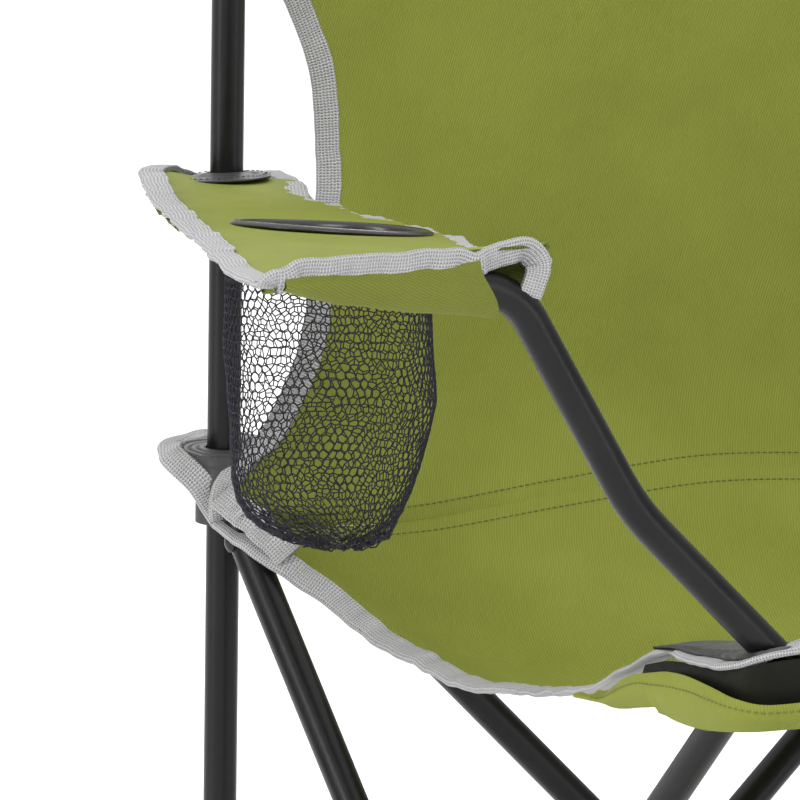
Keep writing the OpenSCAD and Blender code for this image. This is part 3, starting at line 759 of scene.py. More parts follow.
for s, tag in ((-1, "right"), (1, "left")):
    col = 0 if s < 0 else -1
    path, up = resample(SEAT[CREASE:, col], edge_frame(SEAT_N[CREASE:, col], 5))
    path = wavy(path, up, 1.5, 40 + s)
    reach = towards(path, up, (0, 0, 400))
    o = put_tape("seat_binding_rear_" + tag, path, up, "seat_rear", 50 + s, reach, 10.5, 3.6)
    if s < 0:
        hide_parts("seat_binding_rear")
right = SEAT[:CREASE + 1, 0][::-1]
left = SEAT[:CREASE + 1, -1]
front = SEAT[0]
side_up = edge_frame(SEAT_N[:CREASE + 1, 0][::-1], 5)
other_up = edge_frame(SEAT_N[:CREASE + 1, -1], 5)
front_up = np.tile([0, -0.80, 0.60], (len(front), 1))
k = np.minimum(np.arange(len(front)), np.arange(len(front))[::-1]) / 14.0
k = np.clip(k, 0, 1)[:, None]
corner_up = np.where((np.arange(len(front)) < len(front) / 2)[:, None], side_up[-1], other_up[0])
front_up = unit(front_up * k + corner_up * (1 - k))
path = np.vstack([right, front[1:], left[1:]])
up = np.vstack([side_up, front_up[1:], other_up[1:]])
path, up = resample(path, up)
path = wavy(path, up, 1.3, 61, 26)
reach = towards(path, up, (0, 0, 400))
seat_front_tape = put_tape("seat_binding_front_edge", path, up, "seat_front", 63, reach, 10.5, 3.0)
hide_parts("seat_binding_front")

for s, tag in ((-1, "right"), (1, "left")):
    side = spline(PANEL_SIDE, 330)
    if s > 0:
        side = mirror_x(side)
    up = np.zeros_like(side)
    col = 0 if s < 0 else -1
    for i, q in enumerate(side):
        j = int(np.argmin(np.linalg.norm(BACK[:, col] - q, axis=1)))
        up[i] = BACK_N[j, col]
    up = edge_frame(up, 12)
    side = wavy(side, up, 0.5, 71 + s)
    reach = towards(side, up, (0, 240, 600))
    o = put_tape("back_binding_" + tag, side, up, "frame_base", 73 + s, reach, 10.5)
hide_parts("backrest_binding")


# ---------------------------------------------------------------- rear corner tabs with their vinyl patches

def ridged_disc(outline, centre, hole, z_of, ridges, rise, steps):
    """A patch between a hole and an outline, with raised rings that follow the hole."""
    q = np.asarray(outline, float)
    c = np.asarray(centre, float)
    d = q[:, :2] - c
    R = np.linalg.norm(d, axis=1)
    dirs = d / R[:, None]
    grid = np.zeros((steps, len(q), 3))
    for i, rho in enumerate(np.linspace(0, 1, steps)):
        r = hole + (R - hole) * rho
        grid[i, :, :2] = c + dirs * r[:, None]
        grid[i, :, 2] = z_of(grid[i, :, 0], grid[i, :, 1], rho)
        if ridges:
            wave = np.abs(np.sin(math.pi * (r - hole) / ridges))
            end = min(1.0, 6 * rho, 6 * (1 - rho) + 0.15)
            grid[i, :, 2] += rise * wave * end
    return grid


def closed_shell(grid, uv, thick):
    """A shell on a grid whose columns close into a ring."""
    g = np.concatenate([grid, grid[:, :1]], 1)
    w = np.concatenate([uv, uv[:, :1]], 1)
    n = grid_normals(g)
    n[:, 0] = n[:, -1] = unit(n[:, 0] + n[:, -1])
    if n[:, :, 2].mean() < 0:
        n = -n
        return shell(g[:, ::-1], w[:, ::-1], thick, normals=n[:, ::-1])
    return shell(g, w, thick, normals=n)


def rear_tab(s, tag, body):
    outline = np.array(TAB_EDGE + [(-246, 213, 436), (-233, 221, 446), (-222, 230, 452), (-209, 240, 456.5)])
    ring = spline(outline, 120, closed=True)
    c = np.array([-HALF, HALF])
    R = np.linalg.norm(ring[:, :2] - c, axis=1)

    def height(x, y, rho):
        r = TUBE_R + 1.2 + (R - TUBE_R - 1.2) * rho
        t = smooth(14, 30, r) * np.clip(rho * 1.2, 0, 1)
        return TAB_Z + (ring[:, 2] - TAB_Z) * np.clip(t + (rho > 0.99), 0, 1)

    grid = ridged_disc(ring, c, TUBE_R + 1.2, height, 0, 0, 24)
    uv = grid[:, :, :2].copy()
    grid, uv = handed(s, grid, uv)
    v, f, w, n = closed_shell(grid, uv, CLOTH)
    cloth = make("corner_tab_" + tag, v, f, GREEN, body, w, n)

    patch_r = np.clip(R - 5.5, 8, 24.5)
    dirs = (ring[:, :2] - c) / R[:, None]
    edge = np.concatenate([c + dirs * patch_r[:, None], ring[:, 2:]], 1)

    def patch_z(x, y, rho):
        r = np.hypot(x - c[0], y - c[1])
        t = smooth(14, 30, r) * np.clip((r - 8.7) / np.maximum(R - 8.7, 1) * 1.2, 0, 1)
        return TAB_Z + (ring[:, 2] - TAB_Z) * t + CLOTH / 2 + 0.7 + 1.6 * np.exp(-(r - 8.7) / 2.5)

    grid = ridged_disc(edge, c, TUBE_R + 1.0, patch_z, 3.6, 1.0, 60)
    uv = grid[:, :, :2].copy()
    grid, uv = handed(s, grid, uv)
    v, f, w, n = closed_shell(grid, uv, 1.2)
    vinyl = make("corner_patch_" + tag, v, f, VINYL, body, w, n)

    path = spline(TAB_EDGE, 150)
    if s > 0:
        path = mirror_x(path)
    mid = np.array([s * HALF, HALF, 457.0])
    out = unit(path - mid)
    t = tangents(path)
    up = unit(np.cross(t, np.cross([0.0, 0, 1], t)) + 0.0001)
    tilt = smooth(0.45, 0.85, np.linspace(0, 1, len(path)))[:, None]
    up = unit(up * (1 - 0.55 * tilt) + out * [1, 1, 0] * 0.75 * tilt)
    path = wavy(path, up, 0.7, 81 + s)
    band = put_tape("corner_binding_" + tag, path, up, body, 83 + s, towards(path, up, mid), 11.0, 2.8)
    return cloth, vinyl, band


def corner_wrap(s, tag):
    """A wider bit of tape that covers the side tube's end where seat and back meet."""
    path = spline([(-258.5, 210.5, 441), (-257, 203, 438), (-253, 193, 433), (-247.5, 184, 426),
                   (-242, 177, 418)], 40)
    up = np.tile(unit(np.array([-0.62, -0.42, 0.66])), (40, 1))
    if s > 0:
        path, up = mirror_x(path), mirror_x(up)
    path = wavy(path, up, 0.9, 87 + s, 9)
    reach = towards(path, up, (0, 0, 400))
    put_tape("corner_wrap_" + tag, path, up, "slider_" + tag, 89 + s, reach, 13.0, 2.6)


for s, tag in ((-1, "right"), (1, "left")):
    rear_tab(s, tag, "slider_" + tag)
    corner_wrap(s, tag)
    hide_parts("seat_loop_rear_" + tag)


# ---------------------------------------------------------------- front corner patches and hub flaps

def front_patch(s, tag, y0, body):
    hx, hy = tube_at(459, s, y0)
    a = np.linspace(0, 2 * math.pi, 96, endpoint=False)
    c = np.array([hx, hy])
    outer = []
    for t in a:
        d = np.array([math.cos(t), math.sin(t)])
        r = 31 + 1.5 * math.sin(3 * t) + 46 * max(0, math.sin(t)) ** 1.6
        while abs((c + d * r)[0]) > 251.5 or (c + d * r)[1] < -253.5:
            r -= 0.5
            if r < 12:
                break
        outer.append(c + d * r)
    outer = np.array(outer)
    flat_s = SEAT[:, :, :2].reshape(-1, 2)
    z_s = SEAT[:, :, 2].reshape(-1)

    def on_seat(x, y):
        z = np.zeros(len(x))
        for i in range(len(x)):
            d2 = (flat_s[:, 0] - x[i]) ** 2 + (flat_s[:, 1] - y[i]) ** 2
            k = np.argpartition(d2, 6)[:6]
            w = 1 / (d2[k] + 0.3)
            z[i] = (z_s[k] * w).sum() / w.sum()
        return z

    steps = 100
    grid = np.zeros((steps, 96, 3))
    hole = np.stack([c[0] + np.cos(a) * 9.6, c[1] + np.sin(a) * 8.6], 1)
    for i, rho in enumerate(np.linspace(0, 1, steps)):
        xy = hole + (outer - hole) * rho
        grid[i, :, :2] = xy
        r = np.linalg.norm(xy - c, axis=1)
        wave = np.abs(np.sin(math.pi * (r - 9) / 5.2))
        lip = 2.0 * np.exp(-rho * 9)
        ridge = wave * 1.1 * min(1, 5 * (1 - rho) + 0.2)
        grid[i, :, 2] = on_seat(xy[:, 0], xy[:, 1]) + CLOTH / 2 + 0.9 + ridge + lip
    grid[1:-1] = (grid[1:-1] + grid[:-2] + grid[2:]) / 3
    uv = grid[:, :, :2].copy()
    v, f, w, n = closed_shell(grid, uv, 1.3)
    return make("front_patch_" + tag, v, f, VINYL, body, w, n)


FLAP_TOP = [
    (-247.5, -106, 414.5), (-249, -126, 416), (-250, -133, 420), (-252, -149, 429), (-253.5, -162, 434),
    (-254, -175, 437), (-256, -195, 441.5), (-258, -215, 443.5), (-259, -237, 443), (-258, -254, 441.5),
    (-251, -264, 440), (-232, -267.5, 440), (-205, -268, 440), (-184, -262, 441), (-172, -250, 442),
]
FLAP_BOTTOM = [
    (-247, -104, 412.5), (-247, -124, 414), (-246, -130, 413.4), (-246.5, -152, 418), (-247, -169, 421),
    (-249, -185, 419.5), (-252, -209, 420.5), (-255, -230, 423.5), (-254, -247, 426.2), (-248, -259, 428),
    (-232, -263, 428.5), (-205, -263, 428), (-186, -257, 427), (-175, -248, 427), (-170, -240, 429),
]


def hub_flap(s, tag, body):
    n = 150
    top, bot = spline(FLAP_TOP, n), spline(FLAP_BOTTOM, n)
    rows = 26
    grid = np.zeros((rows, n, 3))
    out = tangents(top)
    side = unit(np.stack([out[:, 1], -out[:, 0], np.zeros(n)], 1))
    if side[n // 3, 0] > 0:
        side = -side
    along = np.linspace(0, 1, n)
    for i, t in enumerate(np.linspace(0, 1, rows)):
        g = top * (1 - t) + bot * t
        belly = math.sin(math.pi * min(1, t * 1.05)) * 2.6
        pleat = np.exp(-((along - 0.30) / 0.012) ** 2) * 2.2 * t
        fold = noise1(along * 26, 91) * 1.3 * math.sin(math.pi * t) + pleat
        grid[i] = g + side * (belly + fold)[:, None]
    under = []
    for i, t in enumerate(np.linspace(0.2, 1, 6)):
        dip = 2.0 * t * t - 1.0 * math.sin(math.pi * t)
        under.append(bot + (-side) * (9 * t) + np.array([0, 0, 1.0]) * dip)
    grid = np.concatenate([grid, np.array(under)], 0)
    if s > 0:
        grid = mirror_x(grid)[:, ::-1]
    uv = arc_uv(grid)
    nn = grid_normals(grid)
    mid = grid[rows // 2, n // 2]
    if np.dot(nn[rows // 2, n // 2], mid - np.array([s * 200.0, -200.0, mid[2]])) < 0:
        nn = -nn
        v, f, w, n2 = shell(grid[:, ::-1], uv[:, ::-1], CLOTH, normals=nn[:, ::-1])
    else:
        v, f, w, n2 = shell(grid, uv, CLOTH, normals=nn)
    o = make("hub_flap_cloth_" + tag, v, f, GREEN, body, w, n2)
    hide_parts("hub_flap_" + tag)
    q = grid[7]
    k = grid_normals(grid)[7]
    ref = q - np.array([s * 200.0, -200.0, 440])
    k = np.where(np.sum(k * ref, 1)[:, None] < 0, -k, k)
    v, f, w = stitches(q + k * CLOTH / 2, k, 3.2, 2.3, 0.33)
    make("hub_flap_stitches_" + tag, v, f, THREAD_GREEN, body, w)


for s, tag, y0 in SIDES:
    patch = front_patch(s, tag, y0, "hub_front_" + tag)
    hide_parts("seat_loop_front_" + tag)
    hub_flap(s, tag, "hub_front_" + tag)


# ---------------------------------------------------------------- seams on the sling

def seam_rows():
    for name, grid, nrm, rows, body in (
        ("seat_seam_upper", BACK, BACK_N, 3, "frame_base"),
        ("seat_seam_lower", SEAT, SEAT_N, -3, "seat_rear"),
    ):
        q = grid[rows, 6:-6]
        k = nrm[rows, 6:-6]
        v, f, w = stitches(q + k * (CLOTH / 2), k, 3.3, 2.5, 0.36, 0.05)
        make(name, v, f, THREAD_GREEN, body, w)


seam_rows()


# ---------------------------------------------------------------- armrests

REST_REAR = [
    (-286, 227), (-280, 240), (-272, 250), (-262, 257), (-248, 261), (-232, 262), (-216, 258),
    (-206, 246),
]
REST_OUTER = [
    (-286, 227), (-300, 198), (-319, 160), (-347, 101), (-378, 28), (-404, -33), (-433, -105),
    (-458, -162), (-473, -206), (-480, -243),
]
REST_FRONT = [(-480, -243), (-472, -251), (-352, -252), (-342, -242)]
REST_INNER = [
    (-206, 246), (-210, 226), (-230, 170), (-250, 80), (-266, -8), (-288, -80), (-328, -180),
    (-342, -242),
]
ARM_SLOPE = math.tan(math.radians(7))
UP_REST = np.array([0.0, math.sin(REST_TILT), math.cos(REST_TILT)])


def on_rest(p):
    """From the armrest's plan (x, y, height) to the frame."""
    p = np.asarray(p, float)
    y, z = p[..., 1] - HALF, p[..., 2]
    c, s = math.cos(REST_TILT), math.sin(REST_TILT)
    return np.stack([p[..., 0], HALF + y * c + z * s, REST_Z - y * s + z * c], -1)


def roll_of(y, across):
    """Height that the armrest's roll adds. across is 0 at the outer edge and 1 at the inner one."""
    return ROLL * (1 - 2 * across) * smooth(-245, -150, y) * (1 - smooth(150, 262, y))


def arm_axis(x):
    """Height of the arm tube's axis inside the hem."""
    return ARM_Z + (np.minimum(np.abs(x), 452) - 363) * ARM_SLOPE


def curl_of(x, y):
    """The stiff edge curls up at the outer rear corner."""
    return 8.0 * smooth(205, 262, y) * smooth(-240, -276, x)


def flat3(points, z=0.0):
    p = np.asarray(points, float)
    return np.concatenate([p, np.full((len(p), 1), z)], 1)


def rest_sheet(s, cup, y0):
    rows, cols = 300, 84
    outer = spline(flat3(REST_OUTER), rows)
    inner = spline(flat3(REST_INNER), rows)
    rear, front = spline(flat3(REST_REAR), cols), spline(flat3(REST_FRONT), cols)
    u, v = np.linspace(0, 1, cols), np.linspace(0, 1, rows)
    p = coons(outer, inner, rear, front, u, v)
    x, y = p[:, :, 0], p[:, :, 1]
    ring = np.hypot(x - CUP[0], y - CUP[1])
    post = np.hypot(x + HALF, y - HALF)
    held = 1 - np.exp(-((ring - 42).clip(0) / 26) ** 2) if cup else np.ones_like(ring)
    held *= 1 - np.exp(-((post - 20).clip(0) / 26) ** 2)
    U, V = u[None], v[:, None]
    span = np.sin(np.clip(V * 1.04, 0, 1) * math.pi)
    z = -3.0 * span * (U ** 3) - 1.6 * span * ((1 - U) ** 4)
    z += noise2(x / 34, y / 34, 101 + s) * 1.5 * held
    z += np.exp(-(1 - U) / 0.06) * noise1(V * 34, 103 + s) * 1.9 * span
    z += np.exp(-U / 0.08) * noise1(V * 40, 105 + s) * 1.4 * span
    z += held * np.sin((x * 0.55 + y) / 8.5) * 0.45 * np.exp(-((y - 120) / 120) ** 2)
    z += 8.5 * smooth(-226, -252, y) * (1 - 0.7 * smooth(-466, -479, x)) - 0.8 * smooth(-190, -225, y)
    over = (8.5 + 1.2 * smooth(-380, -450, x)) * smooth(y0 + 24, y0 - 3, y) - 8.5 * smooth(-226, -252, y)
    z += over * (1 - smooth(-456, -472, x))
    z += roll_of(y, U) + curl_of(x, y)
    p[:, :, 2] = z
    q = on_rest(p)
    uv = arc_uv(q)
    n = grid_normals(q)
    if n[:, :, 2].mean() < 0:
        n = -n
    c = (p[:-1, :-1] + p[1:, :-1] + p[:-1, 1:] + p[1:, 1:]) / 4
    keep = np.hypot(c[:, :, 0] + HALF, c[:, :, 1] - HALF) > 10.5
    if cup:
        keep &= np.hypot(c[:, :, 0] - CUP[0], c[:, :, 1] - CUP[1]) > 40.6
        d = np.hypot(x - CUP[0], y - CUP[1])
        near = (d < 40.9) & (d > 36)
        f = np.where(near, 40.9 / d, 1)
        p[:, :, 0] = CUP[0] + (x - CUP[0]) * f
        p[:, :, 1] = CUP[1] + (y - CUP[1]) * f
        q = on_rest(p)
    return q, uv, n, keep


def sleeve(s, y0, x0, x1):
    """The hem that takes the end of the arm tube, sewn under the front edge."""
    ys = [-251, -254.5, y0 - 9.4, y0 - 10.4, y0 - 9.4, y0 - 6.4, y0 - 1, y0 + 5.6, y0 + 9.6, y0 + 12,
          y0 + 22]
    n = 80
    xs = np.linspace(x0, x1, n)
    grid = np.zeros((n, 44, 3))
    for i, x in enumerate(xs):
        za = arm_axis(x)
        deep = np.interp(-x, [376, 402, 449, 466, 478], [1.27, 1.10, 0.96, 0.5, 0.1])
        high = 637.5 - za
        low = za - deep * np.array([4.6, 8.4, 10.0, 8.4])
        back = [min(za - 3, 628.5), min(za + 4, 630.5), 631.2]
        zs = np.r_[640.0, 637.5, za + high * 0.5, za + high * 0.05, low, back]
        grid[i] = spline(np.stack([np.full(11, x), ys, zs], 1), 44)
    t = np.linspace(0, 1, 44)[None]
    w = np.linspace(0, 1, n)[:, None]
    mid = np.stack([np.full(n, y0), arm_axis(xs) - 1], 1)[:, None]
    d = unit(grid[:, :, 1:] - mid)
    ripple = noise2(grid[:, :, 0] / 9, t * 5, 111 + s) * 0.9
    ripple = ripple + np.sin(grid[:, :, 0] / 6.5 + t * 5) * 0.35
    drop = w * w * 1.2 * np.exp(-((t - 0.55) / 0.2) ** 2)
    grid[:, :, 1:] += d * (ripple * 0.6 * np.sin(t * math.pi))[:, :, None]
    grid[:, :, 2] -= drop
    grid[:, :, 0] += 10 * w ** 4 * smooth(637, 613, grid[:, :, 2])
    return grid


def mouth_gusset(y0):
    """Cloth behind the tube where the sleeve opens towards the sitter."""
    n, m = 26, 26
    xs, ts = np.linspace(-388, -349, n), np.linspace(0, 1, m)
    top = spline([(-388, y0 + 8, 634), (-372, y0 + 7, 637.5), (-360, y0 + 4, 640), (-350, y0 - 1, 637)], n)
    low = spline([(-388, y0 + 9, 614.2), (-374, y0 + 12, 611.8), (-361, y0 + 10, 612.8),
                  (-351.5, y0, 616.5)], n)
    grid = np.zeros((n, m, 3))
    for j, t in enumerate(ts):
        grid[:, j] = top * (1 - t) + low * t
        grid[:, j, 1] += math.sin(math.pi * t) * 2.5 * np.sin(np.linspace(0, math.pi, n))
    return grid


def solid_from(name, grid, mat, body, thick=CLOTH, s=-1, face=(0, -1, 0)):
    g = mirror_x(grid) if s > 0 else grid
    n = grid_normals(g)
    if np.sum(n.reshape(-1, 3) @ np.asarray(face, float)) < 0:
        n = -n
    geo = np.cross(g[1, 0] - g[0, 0], g[0, 1] - g[0, 0])
    flip = np.dot(geo, n[0, 0]) < 0
    uv = arc_uv(g)
    if flip:
        g, n, uv = g[:, ::-1], n[:, ::-1], uv[:, ::-1]
    v, f, w, nn = shell(g, uv, thick, normals=n)
    return make(name, v, f, mat, body, w, nn)


def rest_tape_path():
    """Edge of the armrest from the rear inner corner round the outside to the sleeve's mouth."""
    rear = spline(flat3(REST_REAR), 60)[::-1]
    rear[:, 2] = curl_of(rear[:, 0], rear[:, 1])
    outer = spline(flat3(REST_OUTER), 300)[1:]
    outer[:, 2] = roll_of(outer[:, 1], 0.0) + curl_of(outer[:, 0], outer[:, 1])
    side = on_rest(np.vstack([rear, outer]))
    lead = np.array([
        (-484, -248, 634), (-484.5, -252, 637.5), (-481, -254.5, 640.5), (-476.5, -255, 641.5),
        (-470.5, -256, 644.6), (-464, -256.3, 645), (-456, -256.4, 644.2), (-440, -256.4, 644.2),
        (-415, -256.4, 644.2), (-395, -256, 643.4), (-386, -254.5, 640.8), (-380, -252.5, 642.2),
        (-374, -251, 643), (-367, -250.3, 644.3), (-361, -250, 644.7),
        (-355.5, -250, 643.4), (-351.5, -250, 640.4), (-349.3, -250.4, 636), (-349.3, -250.4, 631),
        (-351, -250, 624.5), (-353, -249.5, 618.5),
    ])
    front = spline(np.vstack([side[-1], lead]), 190)[1:]
    path = np.vstack([side, front])
    k = len(side)
    up = np.tile(UP_REST, (len(path), 1))
    ramp = smooth(0, 22, np.arange(len(path)) - k + 4)[:, None]
    up = unit(up * (1 - ramp) + np.array([0, 0.96, 0.28]) * ramp)
    return path, up, k


def armrest(s, tag, y0):
    body = "arm_" + tag
    cup = s < 0
    q, uv, n, keep = rest_sheet(s, cup, y0)
    if s > 0:
        q, n = mirror_x(q), mirror_x(n)
        q, n, uv, keep = q[:, ::-1], n[:, ::-1], uv[:, ::-1], keep[:, ::-1]
    geo = np.cross(q[1, 0] - q[0, 0], q[0, 1] - q[0, 0])
    if geo[2] < 0:
        q, n, uv, keep = q[:, ::-1], n[:, ::-1], uv[:, ::-1], keep[:, ::-1]
    v, f, w, nn = shell(q, uv, CLOTH, keep, normals=n)
    cloth = make("armrest_cloth_" + tag, v, f, GREEN_ARM, body, w, nn)
    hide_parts("armrest_" + tag)
    grid = sleeve(s, y0, -476, -384)
    # the hem and gusset take the darker green copy: painted shade
    hem = solid_from("armrest_sleeve_" + tag, grid, GREEN_HEM_SHADED, body, s=s)
    gus = solid_from("armrest_gusset_" + tag, mouth_gusset(y0), GREEN_HEM_SHADED, body, s=s)
    shift = np.array([0, 0.0 if s < 0 else 3.0, 0])
    path, up, k = rest_tape_path()
    path = path + shift * smooth(-230, -245, path[:, 1])[:, None]
    path = wavy(path, up, 1.0, 121 + s, 26)
    if s > 0:
        path, up = mirror_x(path), mirror_x(up)
    reach = towards(path[:k], up[:k], (s * 340, 0, 608))
    band = put_tape("armrest_binding_" + tag, path, up, body, 123 + s, reach, 10.8, 2.8, wobble=0.8)
    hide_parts("armrest_binding_" + tag)
    inner = spline(flat3(REST_INNER), 300)
    inner[:, 2] = roll_of(inner[:, 1], 1.0) - 3.0 * np.sin(np.linspace(0, math.pi, 300))
    inner = on_rest(inner)
    up = np.tile(UP_REST, (300, 1))
    inner = wavy(inner, up, 1.9, 131 + s, 30)
    if s > 0:
        inner = mirror_x(inner)
    reach = towards(inner, up, (s * 400, -40, 608))
    put_tape("armrest_inner_binding_" + tag, inner, up, body, 133 + s, reach, 9.8)


# edges of the painted-shade sheet under each seat front corner: x, y, low z, high z
SHADE_SHEET = [
    (-247, -160, 429, 437), (-249, -182, 434, 443), (-251, -200, 436, 446), (-252.5, -218, 437, 448.5),
    (-253, -236, 437, 450.5), (-251.5, -250, 436, 453.5), (-245, -257, 435, 456), (-230, -258.5, 435, 457),
    (-206, -259, 435, 456.5),
]


def corner_painted_shade_sheet(s, tag):
    """Painted shade: a near-black sheet between the seat's corner and the flap under it, round the front hub,
    standing in for the shadow in that gap.
    """
    points = np.array(SHADE_SHEET)
    low, high = spline(points[:, [0, 1, 2]], 90), spline(points[:, [0, 1, 3]], 90)
    t = np.linspace(0, 1, 9)[:, None, None]
    grid = (low[None] * (1 - t) + high[None] * t)
    grid[:, :, 0] += 1.2 * np.sin(t[:, :, 0] * math.pi) * np.sign(grid[:, :, 0])
    o = solid_from("front_painted_shade_sheet_" + tag, grid, SHADE_SHEET_BLACK, "hub_front_" + tag, 0.9, s,
                   (s, -1, 0))


def rest_patch(s, tag):
    ring_n = 110
    a = np.linspace(0, 2 * math.pi, ring_n, endpoint=False)
    c = np.array([-HALF, HALF])
    outer = np.stack([-243 + 21.5 * np.cos(a) * (1 + 0.05 * np.cos(2 * a)), 233 + 21 * np.sin(a)], 1)
    hole = np.stack([c[0] + np.cos(a) * 8.6, c[1] + np.sin(a) * 8.6], 1)
    steps = 46
    grid = np.zeros((steps, ring_n, 3))
    for i, rho in enumerate(np.linspace(0, 1, steps)):
        grid[i, :, :2] = hole + (outer - hole) * rho
        r = np.linalg.norm(grid[i, :, :2] - c, axis=1)
        wave = np.abs(np.sin(math.pi * (r - 8.6) / 4.4)) * min(1, 6 * (1 - rho) + 0.1)
        grid[i, :, 2] = 1.1 + 0.6 * wave + 2.0 * np.exp(-rho * 10)
    g = on_rest(grid)
    uv = grid[:, :, :2].copy()
    g, uv = handed(s, g, uv)
    v, f, w, n = closed_shell(g, uv, 1.1)
    o = make("armrest_patch_" + tag + "_vinyl", v, f, VINYL, "arm_" + tag, w, n)
    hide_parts("armrest_patch_" + tag)
    path = g[int(steps * 0.86)]
    up = np.tile(UP_REST, (ring_n, 1))
    got = stitches(path + up * 0.9, up, 2.8, 2.0, 0.3, closed=True)
    make("armrest_patch_" + tag + "_stitches", got[0], got[1], THREAD_DARK, "arm_" + tag,
         got[2])


for s, tag, y0 in SIDES:
    armrest(s, tag, y0)
    rest_patch(s, tag)
    # painted shade in the gap under the seat's front corner
    corner_painted_shade_sheet(s, tag)


# ---------------------------------------------------------------- cup ring and net pocket

def cup_ring():
    prof = [(38.8, -4.6), (38.4, -1.6), (38.7, 0.4), (39.4, 1.6), (40.7, 2.2), (42.3, 1.8),
            (43.6, 0.9), (44.0, 0.2), (43.2, -0.3), (41.6, -0.6), (40.6, -2.0), (40.3, -4.6), (39.5, -5.0)]
    n = 160
    v, f = [], []
    for i in range(n):
        a = 2 * math.pi * i / n
        lift = -1.6 - 0.105 * math.cos(a) * 42 + 0.3 * math.sin(2 * a + 0.6)
        for r, z in prof:
            v.append((CUP[0] + math.cos(a) * r, CUP[1] + math.sin(a) * r, z + lift))
    k = len(prof)
    for i in range(n):
        for j in range(k):
            a, b = i * k, ((i + 1) % n) * k
            f.append((a + j, b + j, b + (j + 1) % k, a + (j + 1) % k))
    o = make("cup_ring_moulded", on_rest(np.array(v)), f, RING, "arm_right")
    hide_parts("cup_ring")
    bm = o.modifiers.new("round", "SUBSURF")
    bm.levels = bm.render_levels = 1


NET_Z = [610, 590, 560, 535, 514, 500, 491, 484, 478, 474, 472]
NET_R = [40.6, 44.5, 45, 44.6, 42, 40, 37.0, 32.5, 26, 17, 3]
NET_C = [0, 0, 0, 1, -1.5, -3, -3, -1, 3, 6, 7]


def net_point(a, h):
    """A point on the net. a is the turn, h is 0 at the ring and 1 at the gathered bottom."""
    s = h * (len(NET_Z) - 1)
    z = np.interp(s, range(len(NET_Z)), NET_Z)
    r = np.interp(s, range(len(NET_Z)), NET_R)
    c = np.interp(s, range(len(NET_Z)), NET_C)
    r = r * (1 + 0.035 * np.sin(3 * a + 2 * h * 3) * smooth(0.05, 0.4, h))
    r = r + 1.6 * noise2(a * 2.2, h * 8, 151) * smooth(0.05, 0.3, h)
    fold = np.exp(-((np.mod(a - 3.95 + math.pi, 2 * math.pi) - math.pi + 0.15 * np.sin(h * 6)) / 0.10) ** 2)
    r = r - 4.0 * fold * smooth(0.02, 0.2, h)
    x = CUP[0] + np.cos(a) * r + c * 0.87
    y = -10.7 + np.sin(a) * r * 0.96 - c * 0.48
    tilt = ((-(y + 10.7)) * math.tan(REST_TILT) - 0.105 * (x - CUP[0])) * (1 - smooth(0, 0.5, h))
    return np.stack([x, y, z + tilt - 3.5], -1)


def net_arc():
    h = np.linspace(0, 1, 400)
    p = net_point(np.zeros(400), h)
    return run(p), h


def hex_net(name, pitch, strand, body):
    arc, hs = net_arc()
    around = 2 * math.pi * 44.5
    count = int(round(around / pitch))
    row_h = around / count * math.sqrt(3) / 2
    rows = int(arc[-1] / row_h)
    r = np.random.RandomState(SEED)
    verts, faces, index = [], [], {}

    def key(i, j):
        return (round(i * 6) % (count * 6), round(j * 6))

    def vert(i, j):
        k = key(i, j)
        if k not in index:
            index[k] = len(verts)
            jit = r.normal(0, 0.16, 2)
            a = 2 * math.pi * (i + jit[0] * 0.7) / count
            l = np.clip(j * row_h + jit[1] * row_h * 0.7, 0, arc[-1])
            verts.append((a, float(np.interp(l, arc, hs))))
        return index[k]

    corners = [(0.0, 2 / 3), (0.5, 1 / 3), (0.5, -1 / 3), (0.0, -2 / 3), (-0.5, -1 / 3), (-0.5, 1 / 3)]
    for row in range(1, rows):
        for i in range(count):
            cx = i + 0.5 * (row % 2)
            f = [vert(cx + dx, row + dy) for dx, dy in corners]
            if len(set(f)) == 6:
                faces.append(f)
    va = np.array(verts)
    p = net_point(va[:, 0], va[:, 1])
    h = va[:, 1][:, None]
    d = np.stack([noise2(va[:, 0] * 22, va[:, 1] * 60, 161), noise2(va[:, 0] * 20, va[:, 1] * 55, 163),
                  noise2(va[:, 0] * 21, va[:, 1] * 50, 167)], 1)
    p = p + d * (0.25 + 2.4 * smooth(0.55, 0.95, h))
    me = bpy.data.meshes.new(name)
    me.from_pydata((p * MM).tolist(), [], faces)
    me.validate()
    o = bpy.data.objects.new(name, me)
    bpy.context.scene.collection.objects.link(o)
    bpy.context.view_layer.objects.active = o
    m = o.modifiers.new("strands", "WIREFRAME")
    m.thickness = strand * MM
    m.use_even_offset = False
    m.use_boundary = True
    dg = bpy.context.evaluated_depsgraph_get()
    new = bpy.data.meshes.new_from_object(o.evaluated_get(dg))
    o.modifiers.clear()
    o.data = new
    new.polygons.foreach_set("use_smooth", [True] * len(new.polygons))
    new.materials.clear()
    new.materials.append(NET)
    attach(o, body)
    PIECES.append(o)
    return o


cup_ring()
net = hex_net("cup_net", 4.1, 0.74, "arm_right")
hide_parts("cup_pocket")


# ---------------------------------------------------------------- pockets over the back posts

